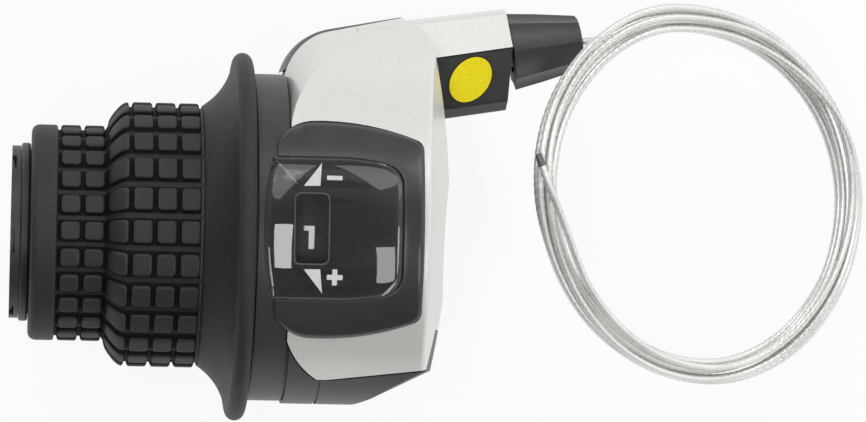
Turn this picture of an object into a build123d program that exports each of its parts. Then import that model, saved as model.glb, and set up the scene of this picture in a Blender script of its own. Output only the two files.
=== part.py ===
from build123d import *
import math
import os

# Millimetres. X runs along the handlebar towards the stem, Y forward and Z up. The origin is
# on the bar's axis, in the plane of the clamp bolt. Angles about the bar run from +Y to +Z.

# Fits
BAR_D = 22.2             # handlebar
BAR_FIT = 0.05           # radial room of the bore on the bar
RUN_FIT = 0.1            # radial room of a turning piece
SEAT_FIT = 0.05          # room round a seated piece
PART_GAP = 0.2           # seam between the cover and the base

# Lengths along the bar, from the stem end outwards
HOUSING_END = 6.9        # stem-side face of the housing, from the clamp bolt
HOUSING_LENGTH = 25.4
RING_LENGTH = 5.0        # plain ring between the housing and the grip flange
FLANGE_GAP = 0.3
FLARE_LENGTH = 8.0       # bell from the blocks to the back of the flange
BLOCK_COLUMNS = 6
BLOCK_PITCH = 3.62
BLOCK_GROOVE = 0.52      # groove between two columns of blocks
BAND_LENGTH = 4.0        # plain band at the outboard end of the grip
WASHER_LENGTH = 1.4
COLLAR_LENGTH = 1.4
END_GAP = 0.1            # axial room beside the washer

# Grip
SLEEVE_WALL = 1.55
SLEEVE_END = 3.6         # stem end of the sleeve, inside the end wall
CORE_WALL = 1.8
CORE_FLANGE_LENGTH = 1.8
CORE_FLANGE_R = 26.0
GRIP_R = 16.7
GRIP_WIDE_R = 20.5
FLANGE_R = 28.6
BELL_R = 22.9            # radius of the bell part-way to the rim
BELL_MIDDLE = 0.63       # and where, as a share of the bell
RIM_LENGTH = 2.9         # rounded rim along the bar
RIM_DROP = 1.6           # from the rim's top to its two ends
RISE_COLUMN = 2          # the third column climbs from the narrow to the wide part
BLOCK_ROWS = 25
BLOCK_HEIGHT = 0.75
BLOCK_BEVEL = 0.3
ROW_GROOVE = 4.1         # degrees between two rows of blocks
ROW_DEEPER = 0.1         # the grooves along the grip are deeper than those round it
RUBBER_WALL = 1.5        # rubber under the blocks of the wide part
BAND_ROUND = 1.2
WASHER_R = 13.8
COLLAR_R = 13.35
COLLAR_LIP = 0.45        # depth of the collar's groove in the sleeve
COLLAR_NOTCHES = 6
COLLAR_NOTCH = 3.4       # width of a notch
COLLAR_TURN = 36.0
WASHER_ROUND = 0.4

# Housing
HOUSING_R = 25.8
HOUSING_WALL = 1.6
RING_STEP = 0.4          # the ring is this much below the housing
RING_WALL = 1.8
NOSE_Y = 28.8            # centre of the nose that carries the cable arm
NOSE_R = 7.0
BROW = 62.0              # angle where the barrel starts to run out to the nose
PART_ANGLE = 146.4       # rear end of the parting line on the barrel
PART_FRONT = (36.0, -7.0)  # front end of the parting line, in Y and Z
FRONT_LOW = (26.3, 7.0, 32.9, 36.0)  # front edge at the arm's height: Y at the outboard end,
                         # X from there and Y where it turns, and Y at the stem end
FRONT_HIGH = (15.4, 7.7, 22.8, 25.5)  # the same edge at the top, where the wall has leant back
FRONT_WALL = 1.1         # thinnest part of the front wall, beside the drum's mouth
END_Y = (27.0, 3.5, -20.0)  # places across the bowed stem end: in front, in the middle and behind
END_LOW = (2.3, 0.0, 2.4)  # how far the end lies back at those places
END_HIGH = (7.8, 4.5, 6.3)  # and at the top, where it has leant back
END_LEAN_Z = 8.0         # the end is upright below this height
END_RUN = 5.0            # straight run in front of the bow, before the corner
END_CORNER_R = 6.0
END_CORNER_TURN = 138.0  # direction of the end beyond that corner, from +X to +Y
REAR_TAPER = 16.1        # length of the tapered rear corner
CREASE_ROUND = 0.8       # crease between the barrel and the stem end
SEAM_WIDTH = 0.45
SEAM_DEPTH = 0.35
REAR_SEAM_X = -13.3      # second groove, across the back of the base
COVER_CORNER = [(0.0, 6.0), (1.6, 3.1), (5.3, -0.15)]  # outboard rear corner of the cover: X from
                         # the outboard face, and Y from the rear end of the parting line
COVER_REAR_SLANT = 7.1   # the cover's rear edge runs forward towards the stem, degrees
COVER_END = ((3.2, 60.0), (-13.5, -5.0), (2.0, 60.0))  # end wall beside the bar, below the
                         # parting line, that belongs to the cover
WEB_X = -8.6
WEB_LENGTH = 1.5
WEB_WINDOW_Y = 19.0      # the web is open for the cable guide in front of this

# Cable arm
ARM_Y = 27.2             # arm's axis where it crosses the clamp bolt's plane
ARM_Z = -7.0
ARM_ANGLE = 9.5          # towards +Y
ARM_LENGTH = 17.45
ARM_START = -6.0         # the arm's form starts inside the housing
ARM_ROOT = ((6.6, 18.5), (4.9, 29.0))  # edge of the cover across the arm's root, in plan
ARM_ROOT_S = 5.0         # and where it starts along the arm's front
ARM_END_SKEW = 11.0      # the end face behind the ridge turns back towards the bar's square
ARM_CORNERS = [          # section seen from the arm's end: front, low, rear, then the rear roof
    (6.2, 4.4), (6.8, 0.5), (6.2, -5.0), (3.6, -7.0),
    (-5.4, -7.0), (-9.0, -3.0), (-9.0, 1.2), (-7.6, 3.6),
]
ARM_FLARE = 0.6          # the front side is this much further out where the arm starts
ARM_RIDGE = (0.6, 7.0)   # edge between the cover and the base on the arm, across its axis and up
ARM_ROUND = 0.8
ARM_PART = -2.0          # height of the parting line on the arm's front
ARM_SKIN = 1.5

# Gear window
LEDGE_DEPTH = 0.9        # seat of the bezel and the plate in the cover
PLATE_T = 0.5
BEZEL_STEP = 0.5         # bezel above the housing
LENS_T = 0.75            # lens at its ends
LENS_CROWN = 1.2         # and how much more in the middle
LENS_LEFT = -21.4
LENS_RIGHT = -1.7
LENS_Y = 1.65
LENS_HALF = 10.65
LENS_HALF_RIGHT = 9.3
LENS_BULGE = 1.3         # bow of the outboard edge
LENS_CORNER = 2.4
BEZEL_LEFT = -20.6
BEZEL_RIGHT = 1.5
BEZEL_Y = 1.5
BEZEL_HALF_LEFT = 13.2
BEZEL_HALF_RIGHT = 13.4
BEZEL_SHOULDER = (-8.5, 16.1)  # places on the bowed side: X, and half width
BEZEL_PEAK = (-15.2, 16.4)
BEZEL_CORNER = 1.6
WINDOW_LEDGE = 0.8       # the cover's opening is wider than the plate's
WINDOW_X = (-18.0, -12.9)
WINDOW_Y = (-3.6, 6.8)
WINDOW_ROUND = 1.4

# Drum and dial
STEP_ANGLE = 28.0        # turn of the grip for one gear
GEARS = 3
HUB_R = 17.0
DISC_X = (-18.5, -13.2)
DISC_DROP = 0.2          # detent disc under the dial
NOTCH_R = 1.1
NOTCH_DEPTH = 0.9
DOGS = 4
DOG_ANGLE = 38.0
DOG_LENGTH = 3.0
DOG_R = 16.0
DOG_ROOM = 1.0           # degrees on each side of a dog
DIAL_DROP = 2.0          # dial under the ring's bore
DIAL_WALL = 1.2
DIAL_MARGIN = 15.0       # dial left beyond the first and last number, degrees
DIAL_RIB = 4.0           # degrees
DIAL_OVERLAP = 0.3       # dial behind each side of the window
CABLE_D = 1.2
CABLE_X = -11.6          # plane of the drum's groove
WIND_R = 15.4            # cable's centre line on the drum
GROOVE_ROOM = 0.1
GROOVE_WIDTH = 1.6
DRUM_FLANGE = 1.6
DRUM_RIM_R = 17.8
NIPPLE_D = 4.4
NIPPLE_LENGTH = 4.5
NIPPLE_ANGLE = 142.0
CABLE_JOIN_GAP = 0.15    # between the wound cable and the straight run

# Detent spring
SPRING_T = 0.5
SPRING_WIDTH = 4.2
SPRING_REACH = 40.0      # half angle of the leaf
NOSE_BITE = 0.7          # the nose reaches this far into a notch
SPRING_NOSE = 1.7        # half width of the nose
SPRING_SINK = 0.8        # the leaf's middle stands this far off the wall

# Cable guide and adjuster
GUIDE_R = 1.4
GUIDE_BORE_R = 0.75
GUIDE_BEND_R = 8.0
GUIDE_INLET = 0.8        # straight part before the bend
GUIDE_TAIL = 2.5         # and after it
GUIDE_POST = (-3.3, 26.6)
POST_R = 2.0
CABLE_ROOM_R = 1.5       # cable channel in the arm
BOLT_R = 2.45
BOLT_STEM = 9.5
BOLT_HEAD_IN = 0.4       # the head starts this far inside the knob
BOLT_HEAD_R = 3.25
BOLT_HEAD_LENGTH = 9.6
BOLT_BORE_R = 0.9
SOCKET_R = 2.55
SOCKET_DEPTH = 7.0
KNOB_R = 6.05
KNOB_TIP_R = 4.6
KNOB_LENGTH = 11.2
KNOB_ROUND = 1.2
KNOB_GAP = 0.3           # from the arm's end to the knob
KNOB_FLUTES = 8
FLUTE_R = 7.0
FLUTE_DEPTH = 0.65

# Bar clamp
CLAMP_X = -6.0
CLAMP_END = 3.0
CLAMP_WALL = 2.6
CLAMP_SLOT = 2.0
CLAMP_RELIEF = 1.0
LUG_HALF = 8.0
LUG_END = 5.5
BAR_HOLE = 0.6           # room round the bar in the end wall
LUG_BOTTOM = -22.6
UNDERSIDE_Z = -11.0
UNDERSIDE_FRONT = 11.0
UNDERSIDE_X = -6.8
CLAMP_BOLT_Z = -18.2
CLAMP_BOLT_R = 2.5
CLAMP_HEAD_R = 4.2
CLAMP_HEAD_LENGTH = 3.6
CLAMP_HEX = 4.0
CLAMP_NUT = 8.0
CLAMP_NUT_T = 3.0
NUT_INSET = 0.8

# Cover screws, from below
SCREW_R = 1.1
SCREW_SLOT = 0.8
SCREW_HEAD_R = 2.2
SCREW_HEAD_LENGTH = 1.5
SCREW_GRIP = 3.5         # base between the head and the parting line
SCREW_BITE = 3.0         # thread in the cover
SCREW_TIP = 0.3          # hole beyond the screw's tip
BOSS_R = 2.9

# Free cable
COIL_CENTRE = (47.0, 8.2, -11.0)
COIL_LONG = 29.6         # half lengths of the oval, at the middle of the bundle
COIL_SHORT = 25.5
COIL_WIDTH = 5.4
COIL_HEIGHT = 5.2
COIL_BEVEL = 1.4
COIL_TILT = 29.0
COIL_HIGH = 154.0        # direction of the highest side, from +X to +Y
COIL_TURN = -29.4        # the oval's long axis from that direction, in the coil's plane
LEAD_STRAIGHT = 8.9      # straight run beyond the knob
LEAD_POINTS = [(46.5, 35.4, -7.3), (54.6, 34.4, -9.6)]

# Worked out from the sizes above
BORE_R = BAR_D / 2 + BAR_FIT
SLEEVE_R = BORE_R + SLEEVE_WALL
CORE_BORE_R = SLEEVE_R + RUN_FIT
HOUSING_X0 = HOUSING_END - HOUSING_LENGTH
RING_X0 = HOUSING_X0 - RING_LENGTH
FLANGE_BACK = RING_X0 - FLANGE_GAP
FLARE_X0 = FLANGE_BACK - FLARE_LENGTH
BLOCKS_X0 = FLARE_X0 - BLOCK_COLUMNS * BLOCK_PITCH
GRIP_X0 = BLOCKS_X0 - BAND_LENGTH
WASHER_X0 = GRIP_X0 - END_GAP - WASHER_LENGTH
COLLAR_X0 = WASHER_X0 - SEAT_FIT - COLLAR_LENGTH
SLEEVE_X0 = COLLAR_X0
CAVITY_R = HOUSING_R - HOUSING_WALL
RING_R = HOUSING_R - RING_STEP
RING_BORE_R = RING_R - RING_WALL
LEDGE_R = HOUSING_R - LEDGE_DEPTH
PLATE_R = LEDGE_R + SEAT_FIT + PLATE_T
BEZEL_R = HOUSING_R + BEZEL_STEP
LENS_IN_R = PLATE_R + RUN_FIT
LENS_EDGE_R = LENS_IN_R + LENS_T
LENS_CROWN_R = LENS_EDGE_R + LENS_CROWN
DIAL_R = RING_BORE_R - DIAL_DROP
DISC_R = DIAL_R - DIAL_WALL - DISC_DROP
NOSE_TIP_R = DISC_R - NOSE_BITE
LEAN_TOP = HOUSING_R + 0.2  # height at which the leaning walls' upper edges are stated
SCREWS = [(2.0, HOUSING_R - 6.5), (-0.5, 8.2 - HOUSING_R), (HOUSING_X0 + 2.2, FRONT_LOW[0] - 0.9)]
CLAMP_R = SLEEVE_R + CLAMP_WALL
BAR_HOLE_R = BORE_R + BAR_HOLE
TOP = 90.0
BOTTOM = 270.0
TWIST = STEP_ANGLE * (GEARS - 1)
NEAR = 60.0              # larger than any piece, for cutting blocks
PART_REAR = (
    HOUSING_R * math.cos(math.radians(PART_ANGLE)), HOUSING_R * math.sin(math.radians(PART_ANGLE))
)
PART_SLOPE = math.degrees(math.atan2(PART_FRONT[1] - PART_REAR[1], PART_FRONT[0] - PART_REAR[0]))
ARM_DIR = Vector(math.cos(math.radians(ARM_ANGLE)), math.sin(math.radians(ARM_ANGLE)), 0)
ARM_SIDE = Vector(-ARM_DIR.Y, ARM_DIR.X, 0)
ARM = Plane(origin=(0, ARM_Y, ARM_Z), x_dir=ARM_SIDE, z_dir=ARM_DIR)
KNOB_S = ARM_LENGTH + KNOB_GAP


def polar(radius, angle):
    """A (y, z) point at an angle about the bar."""
    return (radius * math.cos(math.radians(angle)), radius * math.sin(math.radians(angle)))


def lathe(points, start=0.0, sweep=360.0):
    """A closed outline of (x, radius) points turned about the bar's axis."""
    outline = make_face(Polyline(*points, close=True))
    return Rot(start, 0, 0) * revolve(outline, axis=Axis.X, revolution_arc=sweep)


def tube(x0, x1, r_in, r_out, start=0.0, sweep=360.0):
    """A ring about the bar, or a sector of one."""
    return lathe([(x0, r_in), (x1, r_in), (x1, r_out), (x0, r_out)], start, sweep)


def rod_x(x0, x1, radius):
    """A solid cylinder on the bar's axis."""
    return Pos((x0 + x1) / 2, 0, 0) * Rot(0, 90, 0) * Cylinder(radius, x1 - x0)


def rod_z(x, y, z0, z1, radius):
    """An upright cylinder."""
    return Pos(x, y, (z0 + z1) / 2) * Cylinder(radius, z1 - z0)


def rod_arm(s0, s1, radius):
    """A cylinder on the arm's axis, between two distances along it."""
    return ARM * Pos(0, 0, (s0 + s1) / 2) * Cylinder(radius, s1 - s0)


def block(x, y, z):
    """A box between three pairs of limits."""
    size = (x[1] - x[0], y[1] - y[0], z[1] - z[0])
    return Pos(sum(x) / 2, sum(y) / 2, sum(z) / 2) * Box(*size)


def upright(outline):
    """A plan outline raised above the bar's axis."""
    return extrude(outline, amount=NEAR)


def grown(outline, amount):
    """A plan outline with an even margin added."""
    return offset(outline, amount=amount, kind=Kind.INTERSECTION)


def housing_section(inset):
    """Section across the housing: round barrel, brow, nose and a straight lower flank."""
    barrel = HOUSING_R - inset
    nose = NOSE_R - inset
    centre = Vector(NOSE_Y, ARM_Z)
    brow_dir = Vector(*polar(1, BROW))
    room = HOUSING_R - NOSE_R
    spread = (centre.length ** 2 - room ** 2) / (2 * room - 2 * centre.dot(brow_dir))
    brow_centre = brow_dir * -spread
    brow_r = barrel + spread
    to_nose = (centre - brow_centre).normalized()
    nose_top = math.degrees(math.atan2(to_nose.Y, to_nose.X))
    flank = math.degrees(math.atan2(centre.Y, centre.X) - math.acos(room / centre.length))
    flank_dir = Vector(*polar(1, flank))
    outline = [
        ThreePointArc(polar(barrel, flank), polar(barrel, (flank + BROW) / 2 - 180), polar(barrel, BROW)),
        ThreePointArc(
            polar(barrel, BROW),
            brow_centre + Vector(*polar(brow_r, (BROW + nose_top) / 2)),
            brow_centre + to_nose * brow_r,
        ),
        ThreePointArc(
            centre + to_nose * nose,
            centre + Vector(*polar(nose, (nose_top + flank) / 2)),
            centre + flank_dir * nose,
        ),
        Line(centre + flank_dir * nose, flank_dir * barrel),
    ]
    return Plane.YZ * make_face(outline)


def front_plan(edge, inset):
    """Everything behind one of the front edges in plan: straight, round corner, straight."""
    left_y, turn_x, turn_y, right_y = edge
    turn = Vector(HOUSING_X0 + turn_x, turn_y)
    left = Vector(HOUSING_X0, left_y)
    along = Vector(HOUSING_END - END_LOW[0], right_y) - turn
    corner = TangentArc(turn, left, tangent=along * -1)
    right = turn + along.normalized() * NEAR
    far_left = left + (corner % 1) * NEAR
    around = Polyline(far_left, (far_left.X, -2 * NEAR), (right.X, -2 * NEAR), right)
    plan = make_face([Line(right, turn), corner, Line(left, far_left), around])
    return grown(plan, -inset) if inset else plan


def leaning(low, high):
    """The space behind a wall: upright below the low plan and leaning from it to the high one."""
    return extrude(low, amount=-NEAR) + loft([low, high], ruled=True)


def behind_front(inset):
    """The space behind the front wall, upright below the arm's axis and leaning back above it."""
    low = Pos(0, 0, ARM_Z) * front_plan(FRONT_LOW, inset)
    return leaning(low, Pos(0, 0, LEAN_TOP) * front_plan(FRONT_HIGH, inset))


def end_plan(back, inset):
    """Everything behind the stem end at one height: round front corner, bow, tapered rear corner."""
    front, middle, rear = [Vector(HOUSING_END - x, y) for x, y in zip(back, END_Y)]
    bow = ThreePointArc(front, middle, rear)
    corner = front - (bow % 0) * END_RUN
    turn = math.radians(END_CORNER_TURN)
    far = corner + Vector(math.cos(turn), math.sin(turn)) * NEAR
    taper = Vector(HOUSING_END - REAR_TAPER - back[1], -HOUSING_R - 1)
    away = rear + (taper - rear).normalized() * NEAR
    plan = make_face([
        FilletPolyline(far, corner, front, radius=END_CORNER_R),
        bow,
        Polyline(rear, away, (-2 * NEAR, away.Y), (-2 * NEAR, far.Y), far),
    ])
    return grown(plan, -inset) if inset else plan


def behind_end(inset):
    """The space behind the stem end, upright beside the bar and leaning back above it."""
    low = Pos(0, 0, END_LEAN_Z) * end_plan(END_LOW, inset)
    return leaning(low, Pos(0, 0, LEAN_TOP) * end_plan(END_HIGH, inset))


def housing_form(inset):
    """The housing's form: its section along the bar, behind its leaning front and stem end."""
    along = Pos(HOUSING_X0 + inset, 0, 0) * extrude(housing_section(inset), amount=NEAR)
    return along & behind_front(inset) & behind_end(inset)


def rounded_housing():
    """The outer form with the crease above its stem end rounded."""
    form = housing_form(0.0)
    low_x, high_x = HOUSING_END - max(END_HIGH) - 1, HOUSING_END
    crease = [edge for edge in form.edges() if low_x < edge.center().X < high_x and edge.center().Z > LEDGE_R / 2]
    return fillet(crease, CREASE_ROUND)


def arm_section(inset, flare):
    """Section across the arm, seen from its end: a roof whose ridge is behind the middle."""
    corners = [(v + flare if v > 0 else v, w) for v, w in ARM_CORNERS]
    outline = make_face(Polyline(ARM_RIDGE, *corners, close=True))
    outline = fillet(outline.vertices().sort_by(Axis.Y)[:-1], ARM_ROUND)
    return offset(outline, amount=-inset, kind=Kind.INTERSECTION) if inset else outline


def arm_form(inset=0.0):
    """The arm along its axis; its end face is square in front of the ridge and turned behind it."""
    length = ARM_LENGTH - inset
    root = Pos(0, 0, ARM_START) * arm_section(inset, ARM_FLARE)
    bar = ARM * loft([root, Pos(0, 0, ARM_LENGTH + 1) * arm_section(inset, 0.0)], ruled=True)
    beyond = Pos(0, 0, NEAR / 2) * Box(NEAR, NEAR, NEAR)
    bar -= ARM * Pos(0, 0, length) * beyond
    return bar - ARM * Pos(ARM_RIDGE[0], 0, length) * Rot(0, -ARM_END_SKEW, 0) * beyond


def cover_zone(gap):
    """The space that the cover takes from the housing, with the seam added for the base."""
    side, middle, rear = [(HOUSING_X0 + x, PART_REAR[0] + y) for x, y in COVER_CORNER]
    slant = math.radians(COVER_REAR_SLANT)
    far = (rear[0] + NEAR, rear[1] + NEAR * math.tan(slant))
    root, root_front = [Vector(*point) for point in ARM_ROOT]
    front = root + (root_front - root).normalized() * NEAR
    plan = make_face([
        Polyline(side, (HOUSING_X0, front.Y), front, root, (far[0], root.Y), far, rear),
        ThreePointArc(rear, middle, side),
    ])
    if gap:
        plan = grown(plan, gap)
    seat = Pos(0, *PART_REAR) * Rot(PART_SLOPE, 0, 0) * Pos(0, 0, NEAR - gap)
    main = extrude(plan, amount=NEAR, both=True) & (seat * Box(4 * NEAR, 4 * NEAR, 2 * NEAR))
    main += block(*[(low - gap, high + gap) for low, high in COVER_END])
    v = (ARM_RIDGE[0] - gap, NEAR)
    w = (ARM_PART - gap, NEAR)
    arm = ARM * block(v, w, (ARM_ROOT_S - gap, NEAR))
    skin = arm - arm_form(ARM_SKIN + gap)
    return main + skin


def parting_z(y):
    """Height of the parting line at a place across the housing."""
    return PART_REAR[1] + (y - PART_REAR[0]) * math.tan(math.radians(PART_SLOPE))


def housing_shell():
    """Hollow housing and solid arm, open for the drum at its outboard end."""
    mouth_x = (HOUSING_X0 - 1, HOUSING_X0 + 2 * HOUSING_WALL)
    mouth = rod_x(*mouth_x, RING_BORE_R) & behind_front(FRONT_WALL)
    mouth += rod_x(*mouth_x, DIAL_R + RUN_FIT)
    return rounded_housing() + arm_form() - housing_form(HOUSING_WALL) - mouth


def at_angle(angle):
    """Turns a piece made on the +Y side about the bar; radial is +Y there and tangent is +Z."""
    return Rot(angle, 0, 0)


def boss(screw, z0, z1):
    """A screw boss, kept inside the housing."""
    return rod_z(*screw, z0, z1, BOSS_R) & housing_form(HOUSING_WALL / 2)


def screw_head_z(screw):
    """Height of the seat under a cover screw's head."""
    return parting_z(screw[1]) - SCREW_GRIP


def bar_tube():
    """Sleeve that the grip turns on, with the split clamp band and its lugs at the stem end."""
    body = tube(SLEEVE_X0, SLEEVE_END, BORE_R, SLEEVE_R) + tube(CLAMP_X, CLAMP_END, BORE_R, CLAMP_R)
    lugs = block((CLAMP_X, LUG_END), (-LUG_HALF, LUG_HALF), (LUG_BOTTOM, -SLEEVE_R + SLEEVE_WALL / 2))
    body += lugs - rod_x(CLAMP_X - 1, LUG_END + 1, SLEEVE_R)
    body -= tube(CLAMP_X - CLAMP_RELIEF, CLAMP_X, BORE_R - 1, CLAMP_R + 1, 180, 180)
    slot = (-CLAMP_SLOT / 2, CLAMP_SLOT / 2)
    body -= block((CLAMP_X - CLAMP_RELIEF / 2, HOUSING_END + 1), slot, (-NEAR, 0))
    body -= bolt_axis() * Cylinder(CLAMP_BOLT_R + SEAT_FIT, 4 * LUG_HALF)
    nut_room = CLAMP_NUT / 2 + SEAT_FIT
    nut_z = (CLAMP_BOLT_Z - nut_room, CLAMP_BOLT_Z + nut_room)
    body -= block((-nut_room, nut_room), (nut_seat_y() - SEAT_FIT, NEAR), nut_z)
    rib = collar_rib()
    body -= tube(rib[0] - SEAT_FIT, rib[1] + SEAT_FIT, SLEEVE_R - COLLAR_LIP, SLEEVE_R + 1)
    return body


def clamp_base():
    """Black lower housing: shell, ring, web, sleeve with the bar clamp, and the arm."""
    body = housing_shell()
    body += tube(RING_X0, HOUSING_X0 + RING_WALL, RING_BORE_R, RING_R)
    web = tube(WEB_X, WEB_X + WEB_LENGTH, SLEEVE_R - SLEEVE_WALL / 2, CAVITY_R + SEAT_FIT)
    body += web - block((WEB_X - 1, WEB_X + WEB_LENGTH + 1), (WEB_WINDOW_Y, NEAR), (ARM_Z - 4, NEAR))
    for screw in SCREWS:
        body += boss(screw, -NEAR if screw[1] > 0 else screw_head_z(screw) - SCREW_HEAD_LENGTH, NEAR)
    post_top = ARM_Z - GUIDE_R - SEAT_FIT
    body += rod_z(*GUIDE_POST, -NEAR, post_top, POST_R) & housing_form(HOUSING_WALL / 2)
    body -= cover_zone(PART_GAP)
    body -= block((UNDERSIDE_X, NEAR), (-NEAR, UNDERSIDE_FRONT), (-NEAR, UNDERSIDE_Z))
    body -= tube(HOUSING_X0, HOUSING_X0 + SEAM_WIDTH, RING_R - SEAM_DEPTH, HOUSING_R + 1)
    seam = (REAR_SEAM_X, REAR_SEAM_X + SEAM_WIDTH)
    body -= tube(*seam, HOUSING_R - SEAM_DEPTH, HOUSING_R + 1, PART_ANGLE - 5, BOTTOM - PART_ANGLE)
    end_wall = HOUSING_END - 3 * HOUSING_WALL
    body -= rod_x(end_wall, HOUSING_END + 1, BAR_HOLE_R)
    body -= tube(end_wall, HOUSING_END + 1, BORE_R, CLAMP_R + CLAMP_RELIEF, 180, 180)
    body -= rod_arm(-ARM_LENGTH, NEAR, CABLE_ROOM_R)
    body -= rod_arm(KNOB_S - BOLT_STEM - 1, NEAR, BOLT_R + SEAT_FIT)
    for screw in SCREWS:
        body -= rod_z(*screw, -NEAR, screw_head_z(screw), SCREW_HEAD_R + RUN_FIT)
        body -= rod_z(*screw, -NEAR, NEAR, SCREW_R + RUN_FIT)
    return body + bar_tube()


def top_cover():
    """Silver upper shell with the bezel's recess, the window and the screw bosses."""
    body = housing_shell()
    for screw in SCREWS:
        body += boss(screw, parting_z(screw[1]) - BOSS_R, NEAR)
    body &= cover_zone(0.0)
    body -= rod_x(HOUSING_X0 - 1, HOUSING_END + 1, CLAMP_R + PART_GAP) & behind_end(HOUSING_WALL)
    body -= rod_x(HOUSING_X0 - 1, HOUSING_END + 1, BAR_HOLE_R)
    body -= upright(grown(bezel_outline(), SEAT_FIT)) & tube(-NEAR, NEAR, LEDGE_R, NEAR)
    body -= upright(grown(window_outline(), WINDOW_LEDGE))
    body -= rod_arm(-ARM_LENGTH, NEAR, CABLE_ROOM_R)
    body -= rod_arm(KNOB_S - BOLT_STEM - 1, NEAR, BOLT_R + SEAT_FIT)
    for screw in SCREWS:
        body -= rod_z(*screw, -NEAR, parting_z(screw[1]) + SCREW_BITE + SCREW_TIP, SCREW_R + SEAT_FIT)
    return body


def lens_outline():
    """Plan of the lens: bowed outboard edge, sides that curve in to a round-cornered inboard end."""
    turn = (LENS_LEFT + LENS_RIGHT) / 2
    edges = [ThreePointArc(
        (LENS_LEFT, LENS_Y + LENS_HALF), (LENS_LEFT - LENS_BULGE, LENS_Y), (LENS_LEFT, LENS_Y - LENS_HALF)
    )]
    for side in (1, -1):
        wide, narrow = LENS_Y + side * LENS_HALF, LENS_Y + side * LENS_HALF_RIGHT
        edges.append(Line((LENS_LEFT, wide), (turn, wide)))
        edges.append(TangentArc((turn, wide), (LENS_RIGHT, narrow), tangent=(1, 0)))
    edges.append(Line((LENS_RIGHT, LENS_Y + LENS_HALF_RIGHT), (LENS_RIGHT, LENS_Y - LENS_HALF_RIGHT)))
    outline = make_face(edges)
    return fillet(outline.vertices().sort_by(Axis.X)[-2:], LENS_CORNER)


def bezel_outline():
    """Plan of the bezel: bowed sides, widest beside the number window."""
    edges = []
    for side in (1, -1):
        right = (BEZEL_RIGHT, BEZEL_Y + side * BEZEL_HALF_RIGHT)
        shoulder = (BEZEL_SHOULDER[0], BEZEL_Y + side * BEZEL_SHOULDER[1])
        peak = (BEZEL_PEAK[0], BEZEL_Y + side * BEZEL_PEAK[1])
        bow = ThreePointArc(right, shoulder, peak)
        left = (BEZEL_LEFT, BEZEL_Y + side * BEZEL_HALF_LEFT)
        edges += [bow, TangentArc(peak, left, tangent=bow % 1)]
    for x, half in ((BEZEL_LEFT, BEZEL_HALF_LEFT), (BEZEL_RIGHT, BEZEL_HALF_RIGHT)):
        edges.append(Line((x, BEZEL_Y + half), (x, BEZEL_Y - half)))
    outline = make_face(edges)
    return fillet(outline.vertices().sort_by(Axis.X)[-2:], BEZEL_CORNER)


def window_outline():
    """Plan of the number window."""
    width, height = WINDOW_X[1] - WINDOW_X[0], WINDOW_Y[1] - WINDOW_Y[0]
    place = Pos(sum(WINDOW_X) / 2, sum(WINDOW_Y) / 2, 0)
    return place * RectangleRounded(width, height, WINDOW_ROUND)


def indicator_bezel():
    """Dark frame round the lens; its outboard end lies over the ring."""
    body = upright(bezel_outline()) & tube(-NEAR, NEAR, LEDGE_R + SEAT_FIT, BEZEL_R)
    body -= tube(RING_X0 - 1, HOUSING_X0 + SEAT_FIT, 0, RING_R + RUN_FIT)
    return body - upright(grown(lens_outline(), SEAT_FIT))


def indicator_plate():
    """Black mask under the lens with the number window."""
    plate = upright(grown(lens_outline(), -SEAT_FIT))
    plate &= tube(HOUSING_X0 + SEAT_FIT, NEAR, LEDGE_R + SEAT_FIT, PLATE_R)
    return plate - upright(window_outline())


def indicator_lens():
    """Clear window, crowned along the bar and across it."""
    left, right = LENS_LEFT - LENS_BULGE - 1, LENS_RIGHT + 1
    crown = ThreePointArc((left, LENS_EDGE_R), ((left + right) / 2, LENS_CROWN_R), (right, LENS_EDGE_R))
    section = make_face([
        crown,
        Polyline((right, LENS_EDGE_R), (right, LENS_IN_R), (left, LENS_IN_R), (left, LENS_EDGE_R)),
    ])
    return upright(lens_outline()) & revolve(section, axis=Axis.X)


def gear_dial():
    """Curved number band on ribs that stand on the drum."""
    first, last = TOP, TOP - TWIST
    start, sweep = last - DIAL_MARGIN, first - last + 2 * DIAL_MARGIN
    x0, x1 = WINDOW_X[0] - DIAL_OVERLAP, WINDOW_X[1] + DIAL_OVERLAP
    body = tube(x0, x1, DIAL_R - DIAL_WALL, DIAL_R, start, sweep)
    for place in (0.0, 0.5, 1.0):
        angle = start + place * (sweep - DIAL_RIB)
        body += tube(x0, DISC_X[1], DISC_R + SEAT_FIT, DIAL_R - DIAL_WALL / 2, angle, DIAL_RIB)
    return body


def drum_x1():
    """Stem-side face of the winding drum."""
    return CABLE_X + GROOVE_WIDTH / 2 + DRUM_FLANGE


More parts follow.
